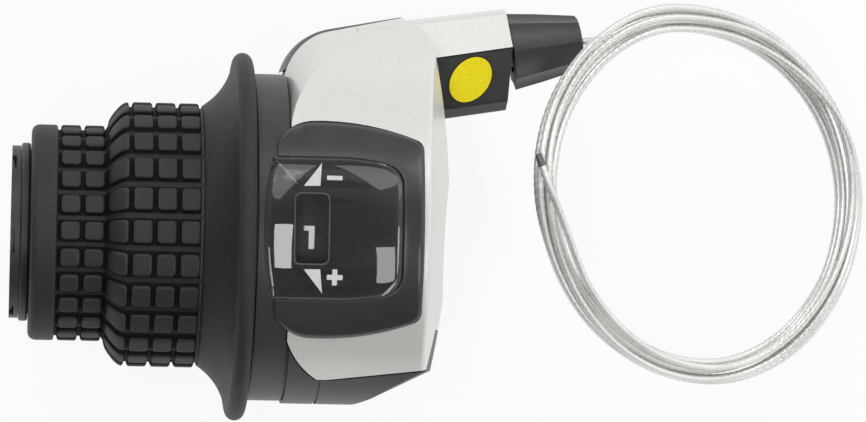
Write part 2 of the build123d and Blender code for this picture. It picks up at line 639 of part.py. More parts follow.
def winding_drum():
    """Drum with the cable groove, the nipple pocket, the detent disc and slots for the dogs."""
    floor = WIND_R - CABLE_D / 2 - GROOVE_ROOM
    side = GROOVE_WIDTH / 2
    body = lathe([
        (RING_X0, CORE_BORE_R),
        (drum_x1(), CORE_BORE_R),
        (drum_x1(), DRUM_RIM_R),
        (CABLE_X + side, DRUM_RIM_R),
        (CABLE_X + side, floor),
        (CABLE_X - side, floor),
        (CABLE_X - side, DRUM_RIM_R),
        (DISC_X[1], DRUM_RIM_R),
        (DISC_X[1], DISC_R),
        (DISC_X[0], DISC_R),
        (DISC_X[0], HUB_R),
        (RING_X0, HUB_R),
    ])
    for gear in range(GEARS):
        y, z = polar(DISC_R + NOTCH_R - NOTCH_DEPTH, BOTTOM - gear * STEP_ANGLE)
        body -= Pos(0, y, z) * rod_x(DISC_X[0] - 1, DISC_X[1] + 1, NOTCH_R)
    for dog in range(DOGS):
        start = dog * 360 / DOGS - DOG_ANGLE / 2 - DOG_ROOM
        x1 = RING_X0 + DOG_LENGTH + RUN_FIT
        body -= tube(RING_X0 - 1, x1, CORE_BORE_R - 1, DOG_R + RUN_FIT, start, DOG_ANGLE + 2 * DOG_ROOM)
    room_r, room_half = NIPPLE_D / 2 + SEAT_FIT, NIPPLE_LENGTH / 2 + SEAT_FIT
    mouth = block((CABLE_X - room_r, CABLE_X + room_r), (WIND_R, NEAR), (-room_half, room_half))
    pocket = Pos(CABLE_X, WIND_R, 0) * Cylinder(room_r, 2 * room_half) + mouth
    return body - at_angle(NIPPLE_ANGLE) * pocket


def cable_nipple():
    """Barrel end of the cable, in its pocket."""
    return at_angle(NIPPLE_ANGLE) * Pos(CABLE_X, WIND_R, 0) * Cylinder(NIPPLE_D / 2, NIPPLE_LENGTH)


def cable_corner():
    """Where the line from the drum meets the arm's axis."""
    return ARM.origin + ARM_DIR * (CABLE_X / ARM_DIR.X)


def leave_angle():
    """Angle about the bar at which the cable leaves the drum for the guide."""
    corner = cable_corner()
    reach = math.hypot(corner.Y, corner.Z)
    return math.degrees(math.atan2(corner.Z, corner.Y) + math.acos(WIND_R / reach))


def cable_wrap():
    """Cable on the drum, from the nipple to where it leaves."""
    start = leave_angle() + math.degrees(CABLE_JOIN_GAP / WIND_R)
    end = NIPPLE_ANGLE - math.degrees(math.atan2(NIPPLE_LENGTH / 2, WIND_R - CABLE_D))
    wire = Pos(CABLE_X, WIND_R, 0) * Circle(CABLE_D / 2)
    return at_angle(start) * revolve(wire, axis=Axis.X, revolution_arc=end - start)


def swept(points, radii, radius, bore=0.0):
    """A round rod or tube along straight runs joined by tangent arcs."""
    path = FilletPolyline(*points, radius=radii)
    start = Plane(origin=path @ 0, z_dir=path % 0)
    ring = Circle(radius) - Circle(bore) if bore else Circle(radius)
    return sweep(start * ring, path=path)


def guide_ends():
    """Where the guide's bend starts and ends, with the directions of the cable there."""
    corner = cable_corner()
    leave = Vector(CABLE_X, *polar(WIND_R, leave_angle()))
    inward = (corner - leave).normalized()
    tangent = GUIDE_BEND_R * math.tan(math.radians(inward.get_angle(ARM_DIR)) / 2)
    return leave, corner, inward, tangent


def cable_run():
    """Cable from the drum through the guide, the arm and the adjuster to the knob's mouth."""
    leave, corner = guide_ends()[:2]
    mouth = ARM.origin + ARM_DIR * (KNOB_S + KNOB_LENGTH)
    return swept([leave, corner, mouth], [GUIDE_BEND_R], CABLE_D / 2)


def cable_guide():
    """Elbow that turns the cable into the arm."""
    leave, corner, inward, tangent = guide_ends()
    start = corner - inward * (tangent + GUIDE_INLET)
    end = corner + ARM_DIR * (tangent + GUIDE_TAIL)
    return swept([start, corner, end], [GUIDE_BEND_R], GUIDE_R, GUIDE_BORE_R)


def detent_spring():
    """Leaf spring under the drum with a nose in the first notch."""
    end_r = RING_BORE_R - RUN_FIT - SPRING_T / 2
    base_z = -(end_r - SPRING_SINK)
    tip_z = -(NOSE_TIP_R + SPRING_T / 2)
    left, right = polar(end_r, BOTTOM - SPRING_REACH), polar(end_r, BOTTOM + SPRING_REACH)
    middle = sum(DISC_X) / 2
    line = [left, (-SPRING_NOSE, base_z), (0, tip_z), (SPRING_NOSE, base_z), right]
    path = FilletPolyline(*[(middle, y, z) for y, z in line], radius=SPRING_T)
    start = Plane(origin=path @ 0, x_dir=(1, 0, 0), z_dir=path % 0)
    return sweep(start * Rectangle(SPRING_WIDTH, SPRING_T), path=path)


def skin_r(x):
    """Radius over the tops of the blocks: narrow, a short rise, then wide."""
    start = BLOCKS_X0 + RISE_COLUMN * BLOCK_PITCH
    rise = min(max((x - start) / BLOCK_PITCH, 0.0), 1.0)
    return GRIP_R + (GRIP_WIDE_R - GRIP_R) * math.sin(rise * math.pi / 2)


def core_steps(fit):
    """Outer steps of the grip core, from the outboard end to the flange's back."""
    narrow = CORE_BORE_R + CORE_WALL + fit
    wide = GRIP_WIDE_R - BLOCK_HEIGHT - RUBBER_WALL + fit
    rise = BLOCKS_X0 + RISE_COLUMN * BLOCK_PITCH
    face = FLANGE_BACK - CORE_FLANGE_LENGTH - fit
    return [
        (GRIP_X0, narrow),
        (rise, narrow),
        (rise + BLOCK_PITCH, wide),
        (face, wide),
        (face, CORE_FLANGE_R + fit),
        (FLANGE_BACK, CORE_FLANGE_R + fit),
    ]


def grip_core():
    """Stiff tube under the rubber, with a flange and dogs that drive the drum."""
    body = lathe([*core_steps(0.0), (FLANGE_BACK, CORE_BORE_R), (GRIP_X0, CORE_BORE_R)])
    for dog in range(DOGS):
        start = dog * 360 / DOGS - DOG_ANGLE / 2
        body += tube(FLANGE_BACK - 0.5, RING_X0 + DOG_LENGTH, CORE_BORE_R, DOG_R, start, DOG_ANGLE)
    return body


def block_points(column):
    """Outline of one column of blocks, with bevelled edges."""
    x0 = BLOCKS_X0 + column * BLOCK_PITCH + BLOCK_GROOVE
    x1 = BLOCKS_X0 + (column + 1) * BLOCK_PITCH
    points = [(x0, skin_r(x0) - BLOCK_HEIGHT), (x0, skin_r(x0) - BLOCK_BEVEL)]
    tops = [x0 + BLOCK_BEVEL, x1 - BLOCK_BEVEL]
    if column == RISE_COLUMN:
        step = (tops[1] - tops[0]) / 3
        tops = [tops[0], tops[0] + step, tops[0] + 2 * step, tops[1]]
    points += [(x, skin_r(x)) for x in tops]
    return points + [(x1, skin_r(x1) - BLOCK_BEVEL), (x1, skin_r(x1) - BLOCK_HEIGHT)]


def grip_rubber():
    """Rubber cover: plain band, rows of blocks, and a bell that ends in a round-rimmed flange."""
    round_x, round_r = GRIP_X0 + BAND_ROUND, GRIP_R - BAND_ROUND
    corner = BAND_ROUND * (1 - math.sqrt(0.5))
    blocks = [point for column in range(BLOCK_COLUMNS) for point in block_points(column)]
    bell_x0 = FLARE_X0 + BLOCK_GROOVE
    bell_x1 = FLANGE_BACK - RIM_LENGTH
    rim_r = FLANGE_R - RIM_DROP
    inner = core_steps(SEAT_FIT)[::-1]
    outline = [
        Line((GRIP_X0, inner[-1][1]), (GRIP_X0, round_r)),
        ThreePointArc((GRIP_X0, round_r), (GRIP_X0 + corner, GRIP_R - corner), (round_x, GRIP_R)),
        Polyline((round_x, GRIP_R), (BLOCKS_X0, GRIP_R), (BLOCKS_X0, GRIP_R - BLOCK_HEIGHT), *blocks),
        Polyline(
            blocks[-1], (bell_x0, GRIP_WIDE_R - BLOCK_HEIGHT), (bell_x0, GRIP_WIDE_R - BLOCK_BEVEL)
        ),
        ThreePointArc(
            (bell_x0, GRIP_WIDE_R - BLOCK_BEVEL), (BELL_MIDDLE * bell_x1 + (1 - BELL_MIDDLE) * bell_x0, BELL_R),
            (bell_x1, rim_r),
        ),
        ThreePointArc((bell_x1, rim_r), (FLANGE_BACK - RIM_LENGTH / 2, FLANGE_R), (FLANGE_BACK, rim_r)),
        Polyline((FLANGE_BACK, rim_r), *inner),
    ]
    body = revolve(make_face(outline), axis=Axis.X)
    floor = [(x, r - BLOCK_HEIGHT - ROW_DEEPER) for x, r in groove_line()]
    roof = GRIP_WIDE_R + 1
    groove = [*floor, (FLARE_X0, roof), (BLOCKS_X0, roof)]
    rows = [lathe(groove, (row + 0.5) * 360 / BLOCK_ROWS, ROW_GROOVE) for row in range(BLOCK_ROWS)]
    return body - rows


def groove_line():
    """Points of the block tops' line from end to end."""
    start = BLOCKS_X0 + RISE_COLUMN * BLOCK_PITCH
    rise = [start + BLOCK_PITCH * share / 4 for share in range(5)]
    return [(x, skin_r(x)) for x in (BLOCKS_X0, *rise, FLARE_X0)]


def thrust_washer():
    """Ring that the grip's end turns against."""
    body = tube(WASHER_X0, WASHER_X0 + WASHER_LENGTH, SLEEVE_R + SEAT_FIT, WASHER_R)
    outer = body.edges().filter_by(GeomType.CIRCLE).group_by(lambda edge: edge.radius)[-1]
    return fillet(outer, WASHER_ROUND)


def collar_rib():
    """Limits along the bar of the collar's snap rib."""
    return COLLAR_X0 + COLLAR_LENGTH / 3, COLLAR_X0 + COLLAR_LENGTH - SEAT_FIT * 3


def retaining_collar():
    """Snap collar with notches round its outboard edge."""
    body = tube(COLLAR_X0, COLLAR_X0 + COLLAR_LENGTH, SLEEVE_R + SEAT_FIT, COLLAR_R)
    body += tube(*collar_rib(), SLEEVE_R - COLLAR_LIP + SEAT_FIT, SLEEVE_R + 2 * SEAT_FIT)
    notch = block(
        (COLLAR_X0 - 1, COLLAR_X0 + COLLAR_LENGTH / 2), (0, NEAR), (-COLLAR_NOTCH / 2, COLLAR_NOTCH / 2)
    )
    for number in range(COLLAR_NOTCHES):
        body -= at_angle(number * 360 / COLLAR_NOTCHES + COLLAR_TURN) * notch
    return body


def adjuster_bolt():
    """Hollow bolt: threaded stem in the arm and a head with the casing's socket."""
    head = KNOB_S + BOLT_HEAD_IN
    end = head + BOLT_HEAD_LENGTH
    body = rod_arm(head - BOLT_STEM, end, BOLT_R) + rod_arm(head, end, BOLT_HEAD_R)
    body -= rod_arm(end - SOCKET_DEPTH, NEAR, SOCKET_R)
    return body - rod_arm(-NEAR, NEAR, BOLT_BORE_R)


def adjuster_knob():
    """Fluted knob that closes in towards its round end, over the bolt's head."""
    lip = BOLT_HEAD_IN + BOLT_HEAD_LENGTH + SEAT_FIT
    bore = BOLT_HEAD_R + RUN_FIT
    tip_z = KNOB_LENGTH - KNOB_ROUND
    turn = KNOB_ROUND * (1 - math.sqrt(0.5))
    outline = [
        Polyline((bore, lip), (bore, 0), (KNOB_R, 0), (KNOB_TIP_R, tip_z)),
        ThreePointArc(
            (KNOB_TIP_R, tip_z), (KNOB_TIP_R - turn, KNOB_LENGTH - turn),
            (KNOB_TIP_R - KNOB_ROUND, KNOB_LENGTH),
        ),
        Polyline(
            (KNOB_TIP_R - KNOB_ROUND, KNOB_LENGTH), (SOCKET_R + RUN_FIT, KNOB_LENGTH),
            (SOCKET_R + RUN_FIT, lip), (bore, lip),
        ),
    ]
    body = revolve(Plane.XZ * make_face(outline), axis=Axis.Z)
    lean = math.degrees(math.atan2(KNOB_R - KNOB_TIP_R, tip_z))
    flute = Pos(KNOB_R - FLUTE_DEPTH + FLUTE_R, 0, 0) * Rot(0, -lean, 0) * Cylinder(FLUTE_R, 4 * KNOB_LENGTH)
    for number in range(KNOB_FLUTES):
        body -= Rot(0, 0, (number + 0.5) * 360 / KNOB_FLUTES) * flute
    return ARM * Pos(0, 0, KNOB_S) * body


def bolt_axis():
    """Turns an upright piece onto the clamp bolt's axis, with its top towards +Y."""
    return Pos(0, 0, CLAMP_BOLT_Z) * Rot(-90, 0, 0)


def nut_seat_y():
    """Face of the front lug that the nut is drawn against."""
    return LUG_HALF - CLAMP_NUT_T - NUT_INSET


def clamp_bolt():
    """Socket-head bolt across the clamp's lugs."""
    head = -LUG_HALF - SEAT_FIT
    middle = head - CLAMP_HEAD_LENGTH / 2
    shank = LUG_HALF - head
    body = bolt_axis() * Pos(0, 0, middle) * Cylinder(CLAMP_HEAD_R, CLAMP_HEAD_LENGTH)
    body += bolt_axis() * Pos(0, 0, head + shank / 2) * Cylinder(CLAMP_BOLT_R, shank)
    key = extrude(RegularPolygon(CLAMP_HEX / 2, 6, major_radius=False), amount=CLAMP_HEAD_LENGTH * 0.6)
    return body - bolt_axis() * Pos(0, 0, head - CLAMP_HEAD_LENGTH) * key


def clamp_nut():
    """Square nut held in the front lug."""
    middle = nut_seat_y() + CLAMP_NUT_T / 2
    body = Box(CLAMP_NUT, CLAMP_NUT, CLAMP_NUT_T) - Cylinder(CLAMP_BOLT_R + SEAT_FIT, CLAMP_NUT_T * 2)
    return bolt_axis() * Pos(0, 0, middle) * body


def cover_screws():
    """The screws that hold the cover, heads down."""
    screws = []
    for screw in SCREWS:
        seat = screw_head_z(screw) - SEAT_FIT
        tip = parting_z(screw[1]) + SCREW_BITE
        body = rod_z(*screw, seat - SCREW_HEAD_LENGTH, seat, SCREW_HEAD_R)
        body += rod_z(*screw, seat - SCREW_HEAD_LENGTH / 2, tip, SCREW_R)
        slot = Box(2 * SCREW_HEAD_R, SCREW_SLOT, SCREW_HEAD_LENGTH)
        body -= Pos(*screw, seat - SCREW_HEAD_LENGTH) * (slot + Rot(0, 0, 90) * slot)
        screws.append(body)
    return Compound(children=[screw.solid() for screw in screws])


def cable_coil():
    """Outer shape of the coiled cable: a tilted oval ring."""
    half = COIL_WIDTH / 2
    ring = Ellipse(COIL_LONG + half, COIL_SHORT + half) - Ellipse(COIL_LONG - half, COIL_SHORT - half)
    body = extrude(ring, amount=COIL_HEIGHT / 2, both=True)
    body = chamfer(body.edges().filter_by_position(Axis.Z, -COIL_HEIGHT, COIL_HEIGHT), COIL_BEVEL)
    place = Pos(*COIL_CENTRE) * Rot(0, 0, COIL_HIGH) * Rot(0, -COIL_TILT, 0) * Rot(0, 0, COIL_TURN)
    return place * body


def cable_lead():
    """Free cable from the knob's mouth into the coil."""
    mouth = ARM.origin + ARM_DIR * (KNOB_S + KNOB_LENGTH)
    points = [mouth, mouth + ARM_DIR * LEAD_STRAIGHT, *[Vector(*point) for point in LEAD_POINTS]]
    runs = [b - a for a, b in zip(points, points[1:])]
    radii = []
    for before, after in zip(runs, runs[1:]):
        half_turn = math.radians(before.get_angle(after)) / 2
        radii.append(0.45 * min(before.length, after.length) / math.tan(half_turn))
    print("cable lead radii", [round(radius, 1) for radius in radii])
    body = swept(points, radii, CABLE_D / 2)
    return body


PIECES = [
    clamp_base,
    top_cover,
    indicator_bezel,
    indicator_plate,
    indicator_lens,
    gear_dial,
    grip_rubber,
    grip_core,
    thrust_washer,
    retaining_collar,
    winding_drum,
    detent_spring,
    cable_nipple,
    cable_wrap,
    cable_run,
    cable_guide,
    adjuster_bolt,
    adjuster_knob,
    clamp_bolt,
    clamp_nut,
    cover_screws,
    cable_lead,
    cable_coil,
]

os.makedirs("parts", exist_ok=True)
for piece in PIECES:
    export_step(piece(), f"parts/{piece.__name__}.step")
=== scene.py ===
"""Looks of a left-hand twist grip shifter, laid out as a Blender add-on and run as a script.

Metres. X runs along the handlebar towards the stem, Y forward, Z up to the gear window.
"""

import math

import bmesh
import bpy
import numpy as np
from bpy.props import FloatProperty, FloatVectorProperty, IntProperty, PointerProperty
from mathutils import Matrix, Vector


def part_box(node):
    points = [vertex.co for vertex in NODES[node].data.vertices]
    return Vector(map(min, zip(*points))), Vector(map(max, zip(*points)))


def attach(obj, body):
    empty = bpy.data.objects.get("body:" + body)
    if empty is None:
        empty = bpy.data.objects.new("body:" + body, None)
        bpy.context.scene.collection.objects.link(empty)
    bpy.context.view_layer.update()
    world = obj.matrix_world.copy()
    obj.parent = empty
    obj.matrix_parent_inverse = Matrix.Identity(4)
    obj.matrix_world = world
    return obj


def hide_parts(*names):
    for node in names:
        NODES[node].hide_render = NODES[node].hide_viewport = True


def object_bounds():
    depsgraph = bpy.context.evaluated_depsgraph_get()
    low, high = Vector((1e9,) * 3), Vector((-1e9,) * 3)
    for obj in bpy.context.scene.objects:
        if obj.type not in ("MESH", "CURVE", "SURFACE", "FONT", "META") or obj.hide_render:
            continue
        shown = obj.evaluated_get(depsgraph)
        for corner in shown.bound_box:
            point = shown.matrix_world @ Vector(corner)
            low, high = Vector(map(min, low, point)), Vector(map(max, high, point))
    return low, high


bl_info = {
    "name": "Twist Grip Shifter",
    "version": (1, 0, 0),
    "blender": (4, 5, 0),
    "location": "3D View > Sidebar > Shifter",
    "description": "Dresses the packed shifter with its finishes, prints, rubber, cable and studio",
    "category": "Object",
}

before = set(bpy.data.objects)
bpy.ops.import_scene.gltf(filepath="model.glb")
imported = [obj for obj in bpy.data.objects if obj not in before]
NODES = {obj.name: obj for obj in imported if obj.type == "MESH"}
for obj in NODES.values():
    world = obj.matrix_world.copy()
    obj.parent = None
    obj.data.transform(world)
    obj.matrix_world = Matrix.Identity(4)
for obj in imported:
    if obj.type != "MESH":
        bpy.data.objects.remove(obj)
CAD_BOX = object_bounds()
MM = 0.001
IMAGE = (866, 422)

# Limits that the looks take over from the solids
GRIP_LOW, GRIP_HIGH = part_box("grip_rubber")
DIAL_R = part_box("gear_dial")[1].z
FLOOR_Z = CAD_BOX[0][2]

# Grooves along the grip: share that is the flat middle, how much painted shade it gets, and where the
# walls' painted-shade material starts
FLOOR_MIDDLE = 0.6
FLOOR_SHADE = 0.34
WALL_SHADE = 0.36

# Cable arm: a point on its axis, its turn from the bar and the knob's mouth along it
ARM_POINT = Vector((0.0, 27.2, -7.0)) * MM
ARM_TURN = math.radians(9.5)
ARM_DIR = Vector((math.cos(ARM_TURN), math.sin(ARM_TURN), 0.0))
ARM_SIDE = Vector((-ARM_DIR.y, ARM_DIR.x, 0.0))
KNOB_MOUTH = 28.95 * MM

# Lead and ring of the free cable, as the solids have them
LEAD_STRAIGHT = 8.9 * MM
LEAD_POINTS = [Vector((46.5, 35.4, -7.3)) * MM, Vector((54.6, 34.4, -9.6)) * MM]
COIL_CENTRE = Vector((47.0, 8.2, -11.0)) * MM
COIL_HALF = (29.6 * MM, 25.5 * MM)
COIL_HEADING, COIL_TILT, COIL_SPIN = (math.radians(turn) for turn in (154.0, -29.0, -29.4))
COIL_PLACE = (
    Matrix.Translation(COIL_CENTRE)
    @ Matrix.Rotation(COIL_HEADING, 4, "Z")
    @ Matrix.Rotation(COIL_TILT, 4, "Y")
    @ Matrix.Rotation(COIL_SPIN, 4, "Z")
)
# Places of the turns across the bundle, outwards and along its normal, in winding order
COIL_SLOTS = [
    (1.6, -0.3), (0.65, -1.2), (-0.6, -1.2), (-1.5, -0.4),
    (-0.5, 0.05), (-1.35, 0.95), (1.5, 0.85), (0.35, 1.1), (-1.6, 1.0),
]
# Bow of the bundle, in degrees round the coil and millimetres outwards
COIL_BOW = [
    (0, 2.0), (30, 1.9), (60, 0.8), (85, -0.2), (110, -0.5), (130, -0.1), (150, 1.4), (175, 3.8),
    (200, 4.6), (225, 4.9), (250, 4.1), (275, 2.6), (300, 1.4), (315, 0.4), (330, 0.8), (345, 1.7),
]
# Turn that crosses over the others, the part of it that does and its lift in millimetres
CROSSING_TURN = 5
CROSSING = (0.03, 0.15)
CROSSING_LIFT = 1.3
# Part of every other turn in which it moves to its next place
SHIFT = (0.1, 0.6)
# Last stretch, over the other turns to the bare tip: degrees, outwards and along the normal
COIL_END = [
    (96, -2.0, 1.5), (82, -2.0, 2.4), (70, -1.8, 3.0),
    (59, -0.6, 3.2), (50, 1.2, 2.9), (44, 2.4, 2.3),
]

# Rays that see the floor white
SEEN_RAYS = ("Is Camera Ray", "Is Glossy Ray", "Is Transmission Ray")


def length(name, description, default):
    """A length that a user may change."""
    return FloatProperty(name=name, description=description, default=default, unit="LENGTH", precision=5)


def angle(name, description, degrees):
    """An angle that a user may change."""
    return FloatProperty(
        name=name, description=description, default=math.radians(degrees), subtype="ANGLE"
    )


def share(name, description, default):
    """A number from 0 to 1 that a user may change."""
    return FloatProperty(
        name=name, description=description, default=default, min=0.0, max=1.0, subtype="FACTOR"
    )


def spot(name, description, default):
    """A place in a plane that a user may change."""
    return FloatVectorProperty(
        name=name, description=description, default=default, size=2, unit="LENGTH", precision=5
    )


def power(name, description, default):
    """A lamp's power that a user may change."""
    return FloatProperty(name=name, description=description, default=default, unit="POWER")


def colour(name, description, default):
    """A linear colour that a user may change."""
    return FloatVectorProperty(
        name=name, description=description, default=default, size=3, min=0.0, max=1.0, subtype="COLOR"
    )


class GripSettings(bpy.types.PropertyGroup):
    """Sizes of the rubber grip"""

    rows: IntProperty(name="Rows", description="Rows of blocks round the grip", default=25)
    columns: IntProperty(name="Columns", description="Columns of blocks along the grip", default=6)
    rise: IntProperty(name="Rise", description="Column that climbs to the wide part", default=2)
    pitch: length("Pitch", "Length of one column with its groove", 3.62 * MM)
    groove: length("Groove", "Width of the groove round the grip", 0.46 * MM)
    row_groove: angle("Row groove", "Width of the groove along the grip", 3.8)
    phase: angle("Phase", "Turn of the first row groove from +Y", 9.25)
    height: length("Height", "Height of a block", 0.75 * MM)
    deeper: length("Deeper", "Extra depth of the grooves along the grip", 0.1 * MM)
    corner: length("Corner", "Corner radius of a block seen from above", 0.75 * MM)
    edge: length("Edge", "Rounded top edge of a block", 0.38 * MM)
    narrow: length("Narrow radius", "Radius over the outboard blocks", 16.7 * MM)
    wide: length("Wide radius", "Radius over the inboard blocks", 20.5 * MM)
    band: length("Band", "Plain band at the outboard end", 4.0 * MM)
    inner: length("Inner radius", "Radius inside the narrow part", 14.65 * MM)
    inner_wide: length("Inner wide radius", "Radius inside the wide part", 18.3 * MM)
    seat: length("Flange seat", "Radius of the seat for the core's flange", 26.05 * MM)
    seat_depth: length("Flange seat depth", "Depth of that seat", 1.85 * MM)
    round: length("End round", "Rounded outboard edge", 1.2 * MM)
    rim_run: length("Rim", "Length of the flange's rounded rim", 2.9 * MM)
    rim_drop: length("Rim drop", "Height of that rounding", 1.6 * MM)
    knee: length("Knee", "Radius of the bell on its way to the rim", 22.9 * MM)
    knee_place: share("Knee place", "Share of the bell's length at which that is", 0.63)


class WindowSettings(bpy.types.PropertyGroup):
    """Sizes of the prints in the gear window"""

    digit: length("Digit height", "Height of the gear numbers", 3.45 * MM)
    digit_x: length("Digit place", "Middle of the numbers along the bar", -15.5 * MM)
    stroke: length("Stroke", "Width of a number's lines", 0.80 * MM)
    first: angle("First number", "Lean of the first number from the top", 0.7)
    step: angle("Step", "Turn of the grip for one gear", 28.0)
    lift: length("Lift", "Height of a print over its surface", 0.07 * MM)
    left: length("Lens left", "Outboard end of the lens", -21.4 * MM)
    right: length("Lens right", "Inboard end of the lens", -1.7 * MM)
    middle: length("Lens middle", "Middle of the lens across the bar", 1.65 * MM)
    half: length("Lens half width", "Half width at the outboard end", 10.65 * MM)
    half_right: length("Lens half width inboard", "Half width at the inboard end", 9.3 * MM)
    bulge: length("Lens bow", "Bow of the outboard end", 1.3 * MM)
    corner: length("Lens corner", "Run of the rounded inboard corners", 2.7 * MM)
    inside: length("Lens inside", "Radius of the lens's inner face", 25.55 * MM)
    crown: length("Lens crown", "Radius at the top of the crown", 27.5 * MM)
    bend: length("Lens bend", "Radius of the crown along the bar", 55.7 * MM)
    roll: length("Lens edge", "Width of the rolled edge", 1.15 * MM)
    drop: length("Lens drop", "Fall of the rolled edge", 0.70 * MM)
    mask: length("Mask", "Radius of the mask's face", 25.52 * MM)
    tail: angle("Dial tail", "Length of the dial past its solid, round the bar", 12.0)


class BezelSettings(bpy.types.PropertyGroup):
    """Sizes of the frame round the lens"""

    left: length("Left", "Outboard end of the frame", -20.6 * MM)
    right: length("Right", "Inboard end of the frame", 1.5 * MM)
    middle: length("Middle", "Middle of the frame across the bar", 1.5 * MM)
    half_left: length("Half width outboard", "Half width at the outboard end", 13.2 * MM)
    half_right: length("Half width inboard", "Half width at the inboard end", 13.4 * MM)
    shoulder: spot("Shoulder", "Place on the bowed side", (-8.5 * MM, 16.1 * MM))
    peak: spot("Peak", "Widest place", (-15.2 * MM, 16.4 * MM))
    corner: length("Corner", "Run of the rounded inboard corners", 1.8 * MM)
    radius: length("Radius", "Radius of the outer face", 26.3 * MM)
    seat: length("Seat", "Radius of the seat in the cover", 24.97 * MM)
    over_ring: length("Over the ring", "Radius of the underside over the ring", 25.52 * MM)
    ring_end: length("Ring end", "Where the ring under the frame ends", -18.45 * MM)
    roll: length("Edge", "Width of the rolled outer edge", 1.0 * MM)
    drop: length("Drop", "Fall of the rolled outer edge", 0.5 * MM)
    lip: length("Lip", "Width of the soft inner edge", 0.25 * MM)


class MarkerSettings(bpy.types.PropertyGroup):
    """Sizes of the plain marker on the arm"""

    place: length("Place", "Middle of the marker along the arm", 10.3 * MM)
    side: length("Side", "Middle of the marker across the arm", -3.5 * MM)
    half_long: length("Half length", "Half of the long axis", 4.0 * MM)
    half_short: length("Half width", "Half of the short axis", 3.05 * MM)
    turn: angle("Turn", "Turn of the long axis from the arm", 51.0)
    # Border: the dark ring is painted shadow round the marker's edge
    border: length("Border", "Width of the dark border", 0.22 * MM)
    lift: length("Lift", "Thickness of the marker", 0.14 * MM)


class CableSettings(bpy.types.PropertyGroup):
    """Sizes of the inner cable"""

    thickness: length("Diameter", "Diameter of the cable", 1.2 * MM)
    real: length("Length", "Length of the free cable", 1.45)
    lay: length("Lay", "Length of one twist of the strands", 8.0 * MM)
    strands: IntProperty(name="Strands", description="Strands seen round the cable", default=6)
    tip: length("Tip", "Length of the fused end", 1.8 * MM)
    loose: length("Looseness", "How far the turns wander", 0.32 * MM)
    points: IntProperty(name="Points", description="Points of the route in one turn", default=16)


class FinishSettings(bpy.types.PropertyGroup):
    """Colours of the finishes"""

    rubber: colour("Rubber", "Grip rubber", (0.018, 0.018, 0.0182))
    # Groove: the rubber's colour darkened in the grooves as painted shade
    groove: colour("Groove", "Groove floors", (0.004, 0.004, 0.004))
    silver: colour("Silver", "Painted cover", (0.74, 0.73, 0.70))
    black: colour("Black", "Moulded housing", (0.026, 0.026, 0.028))
    bezel: colour("Bezel", "Satin frame of the window", (0.030, 0.030, 0.034))
    plate: colour("Plate", "Mask under the lens", (0.010, 0.010, 0.011))
    line: colour("Line", "Line round the number window", (0.10, 0.10, 0.10))
    knob: colour("Knob", "Adjuster knob", (0.035, 0.035, 0.037))
    steel: colour("Steel", "Cable and fasteners", (0.62, 0.62, 0.61))
    cable: colour("Cable", "Galvanised strands of the free cable", (0.93, 0.925, 0.90))
    dark_steel: colour("Dark steel", "Plated bolts", (0.30, 0.30, 0.31))
    acetal: colour("Acetal", "Drum and cable guide", (0.55, 0.54, 0.50))
    brass: colour("Nipple", "Cast cable end", (0.58, 0.55, 0.48))
    white: colour("White", "Printed signs and numbers", (0.70, 0.70, 0.70))
    yellow: colour("Yellow", "Plain marker on the arm", (0.96, 0.80, 0.007))


class StageSettings(bpy.types.PropertyGroup):
    """Camera and light"""

    distance: length("Camera distance", "Distance of the camera", 0.70)
    tilt: angle("Camera tilt", "Lean of the camera towards the grip", 5.5)
    roll: angle("Camera roll", "Turn of the picture", 1.36)
    scale: FloatProperty(name="Scale", description="Pixels in a millimetre at the bar", default=6.4)
    aim_x: length("Aim along the bar", "Middle of the picture, along the bar", 5.16 * MM)
    aim_y: length("Aim across", "Middle of the picture, across the bar", 4.7 * MM)
    left: power("Left box", "Power of the soft box in front on the left", 1.12)
    right: power("Right box", "Power of the soft box in front on the right", 0.74)
    strip: power("Strip", "Power of the strip beside the camera", 1.4)
    fill: power("Fill", "Power of the strip on the right", 0.75)
    world: share("World", "Strength of the light from all around", 0.45)


class ShifterSettings(bpy.types.PropertyGroup):
    """All settings of the shifter"""

    grip: PointerProperty(type=GripSettings)
    window: PointerProperty(type=WindowSettings)
    bezel: PointerProperty(type=BezelSettings)
    marker: PointerProperty(type=MarkerSettings)
    cable: PointerProperty(type=CableSettings)
    finish: PointerProperty(type=FinishSettings)
    stage: PointerProperty(type=StageSettings)


class Tone:
    """One output of a node tree. Sums on it add Math nodes."""

    def __init__(self, tree, socket=None):
        self.tree = tree
        self.socket = socket

    def node(self, kind, settings=None, inputs=None, output=0):
        """Adds a node: its settings first, then the values or links of its sockets."""
        made = self.tree.nodes.new(kind)
        for name, value in (settings or {}).items():
            setattr(made, name, value)
        for key, value in (inputs or {}).items():
            if isinstance(value, Tone):
                self.tree.links.new(value.socket, made.inputs[key])
            else:
                made.inputs[key].default_value = value
        return Tone(self.tree, made.outputs[output])

    def math(self, operation, first, second):
        """A Math node on two values."""
        return self.node("ShaderNodeMath", {"operation": operation}, {0: first, 1: second})

    def __add__(self, other):
        return self.math("ADD", self, other)

    def __radd__(self, other):
        return self.math("ADD", other, self)

    def __sub__(self, other):
        return self.math("SUBTRACT", self, other)

    def __rsub__(self, other):
        return self.math("SUBTRACT", other, self)

    def __mul__(self, other):
        return self.math("MULTIPLY", self, other)

    def __rmul__(self, other):
        return self.math("MULTIPLY", other, self)

    def between(self, low, high):
        """0 below low, 1 above high, smooth between them."""
        settings = {"interpolation_type": "SMOOTHSTEP"}
        return self.node("ShaderNodeMapRange", settings, {0: self, 1: low, 2: high})

    def mixed(self, first, second):
        """A colour between two, by this value."""
        settings = {"data_type": "RGBA"}
        return self.node("ShaderNodeMix", settings, {0: self, 6: rgba(first), 7: rgba(second)}, 2)


def rgba(shade):
    """A colour with its alpha, or a link as it is."""
    return shade if isinstance(shade, Tone) else (*shade, 1.0)


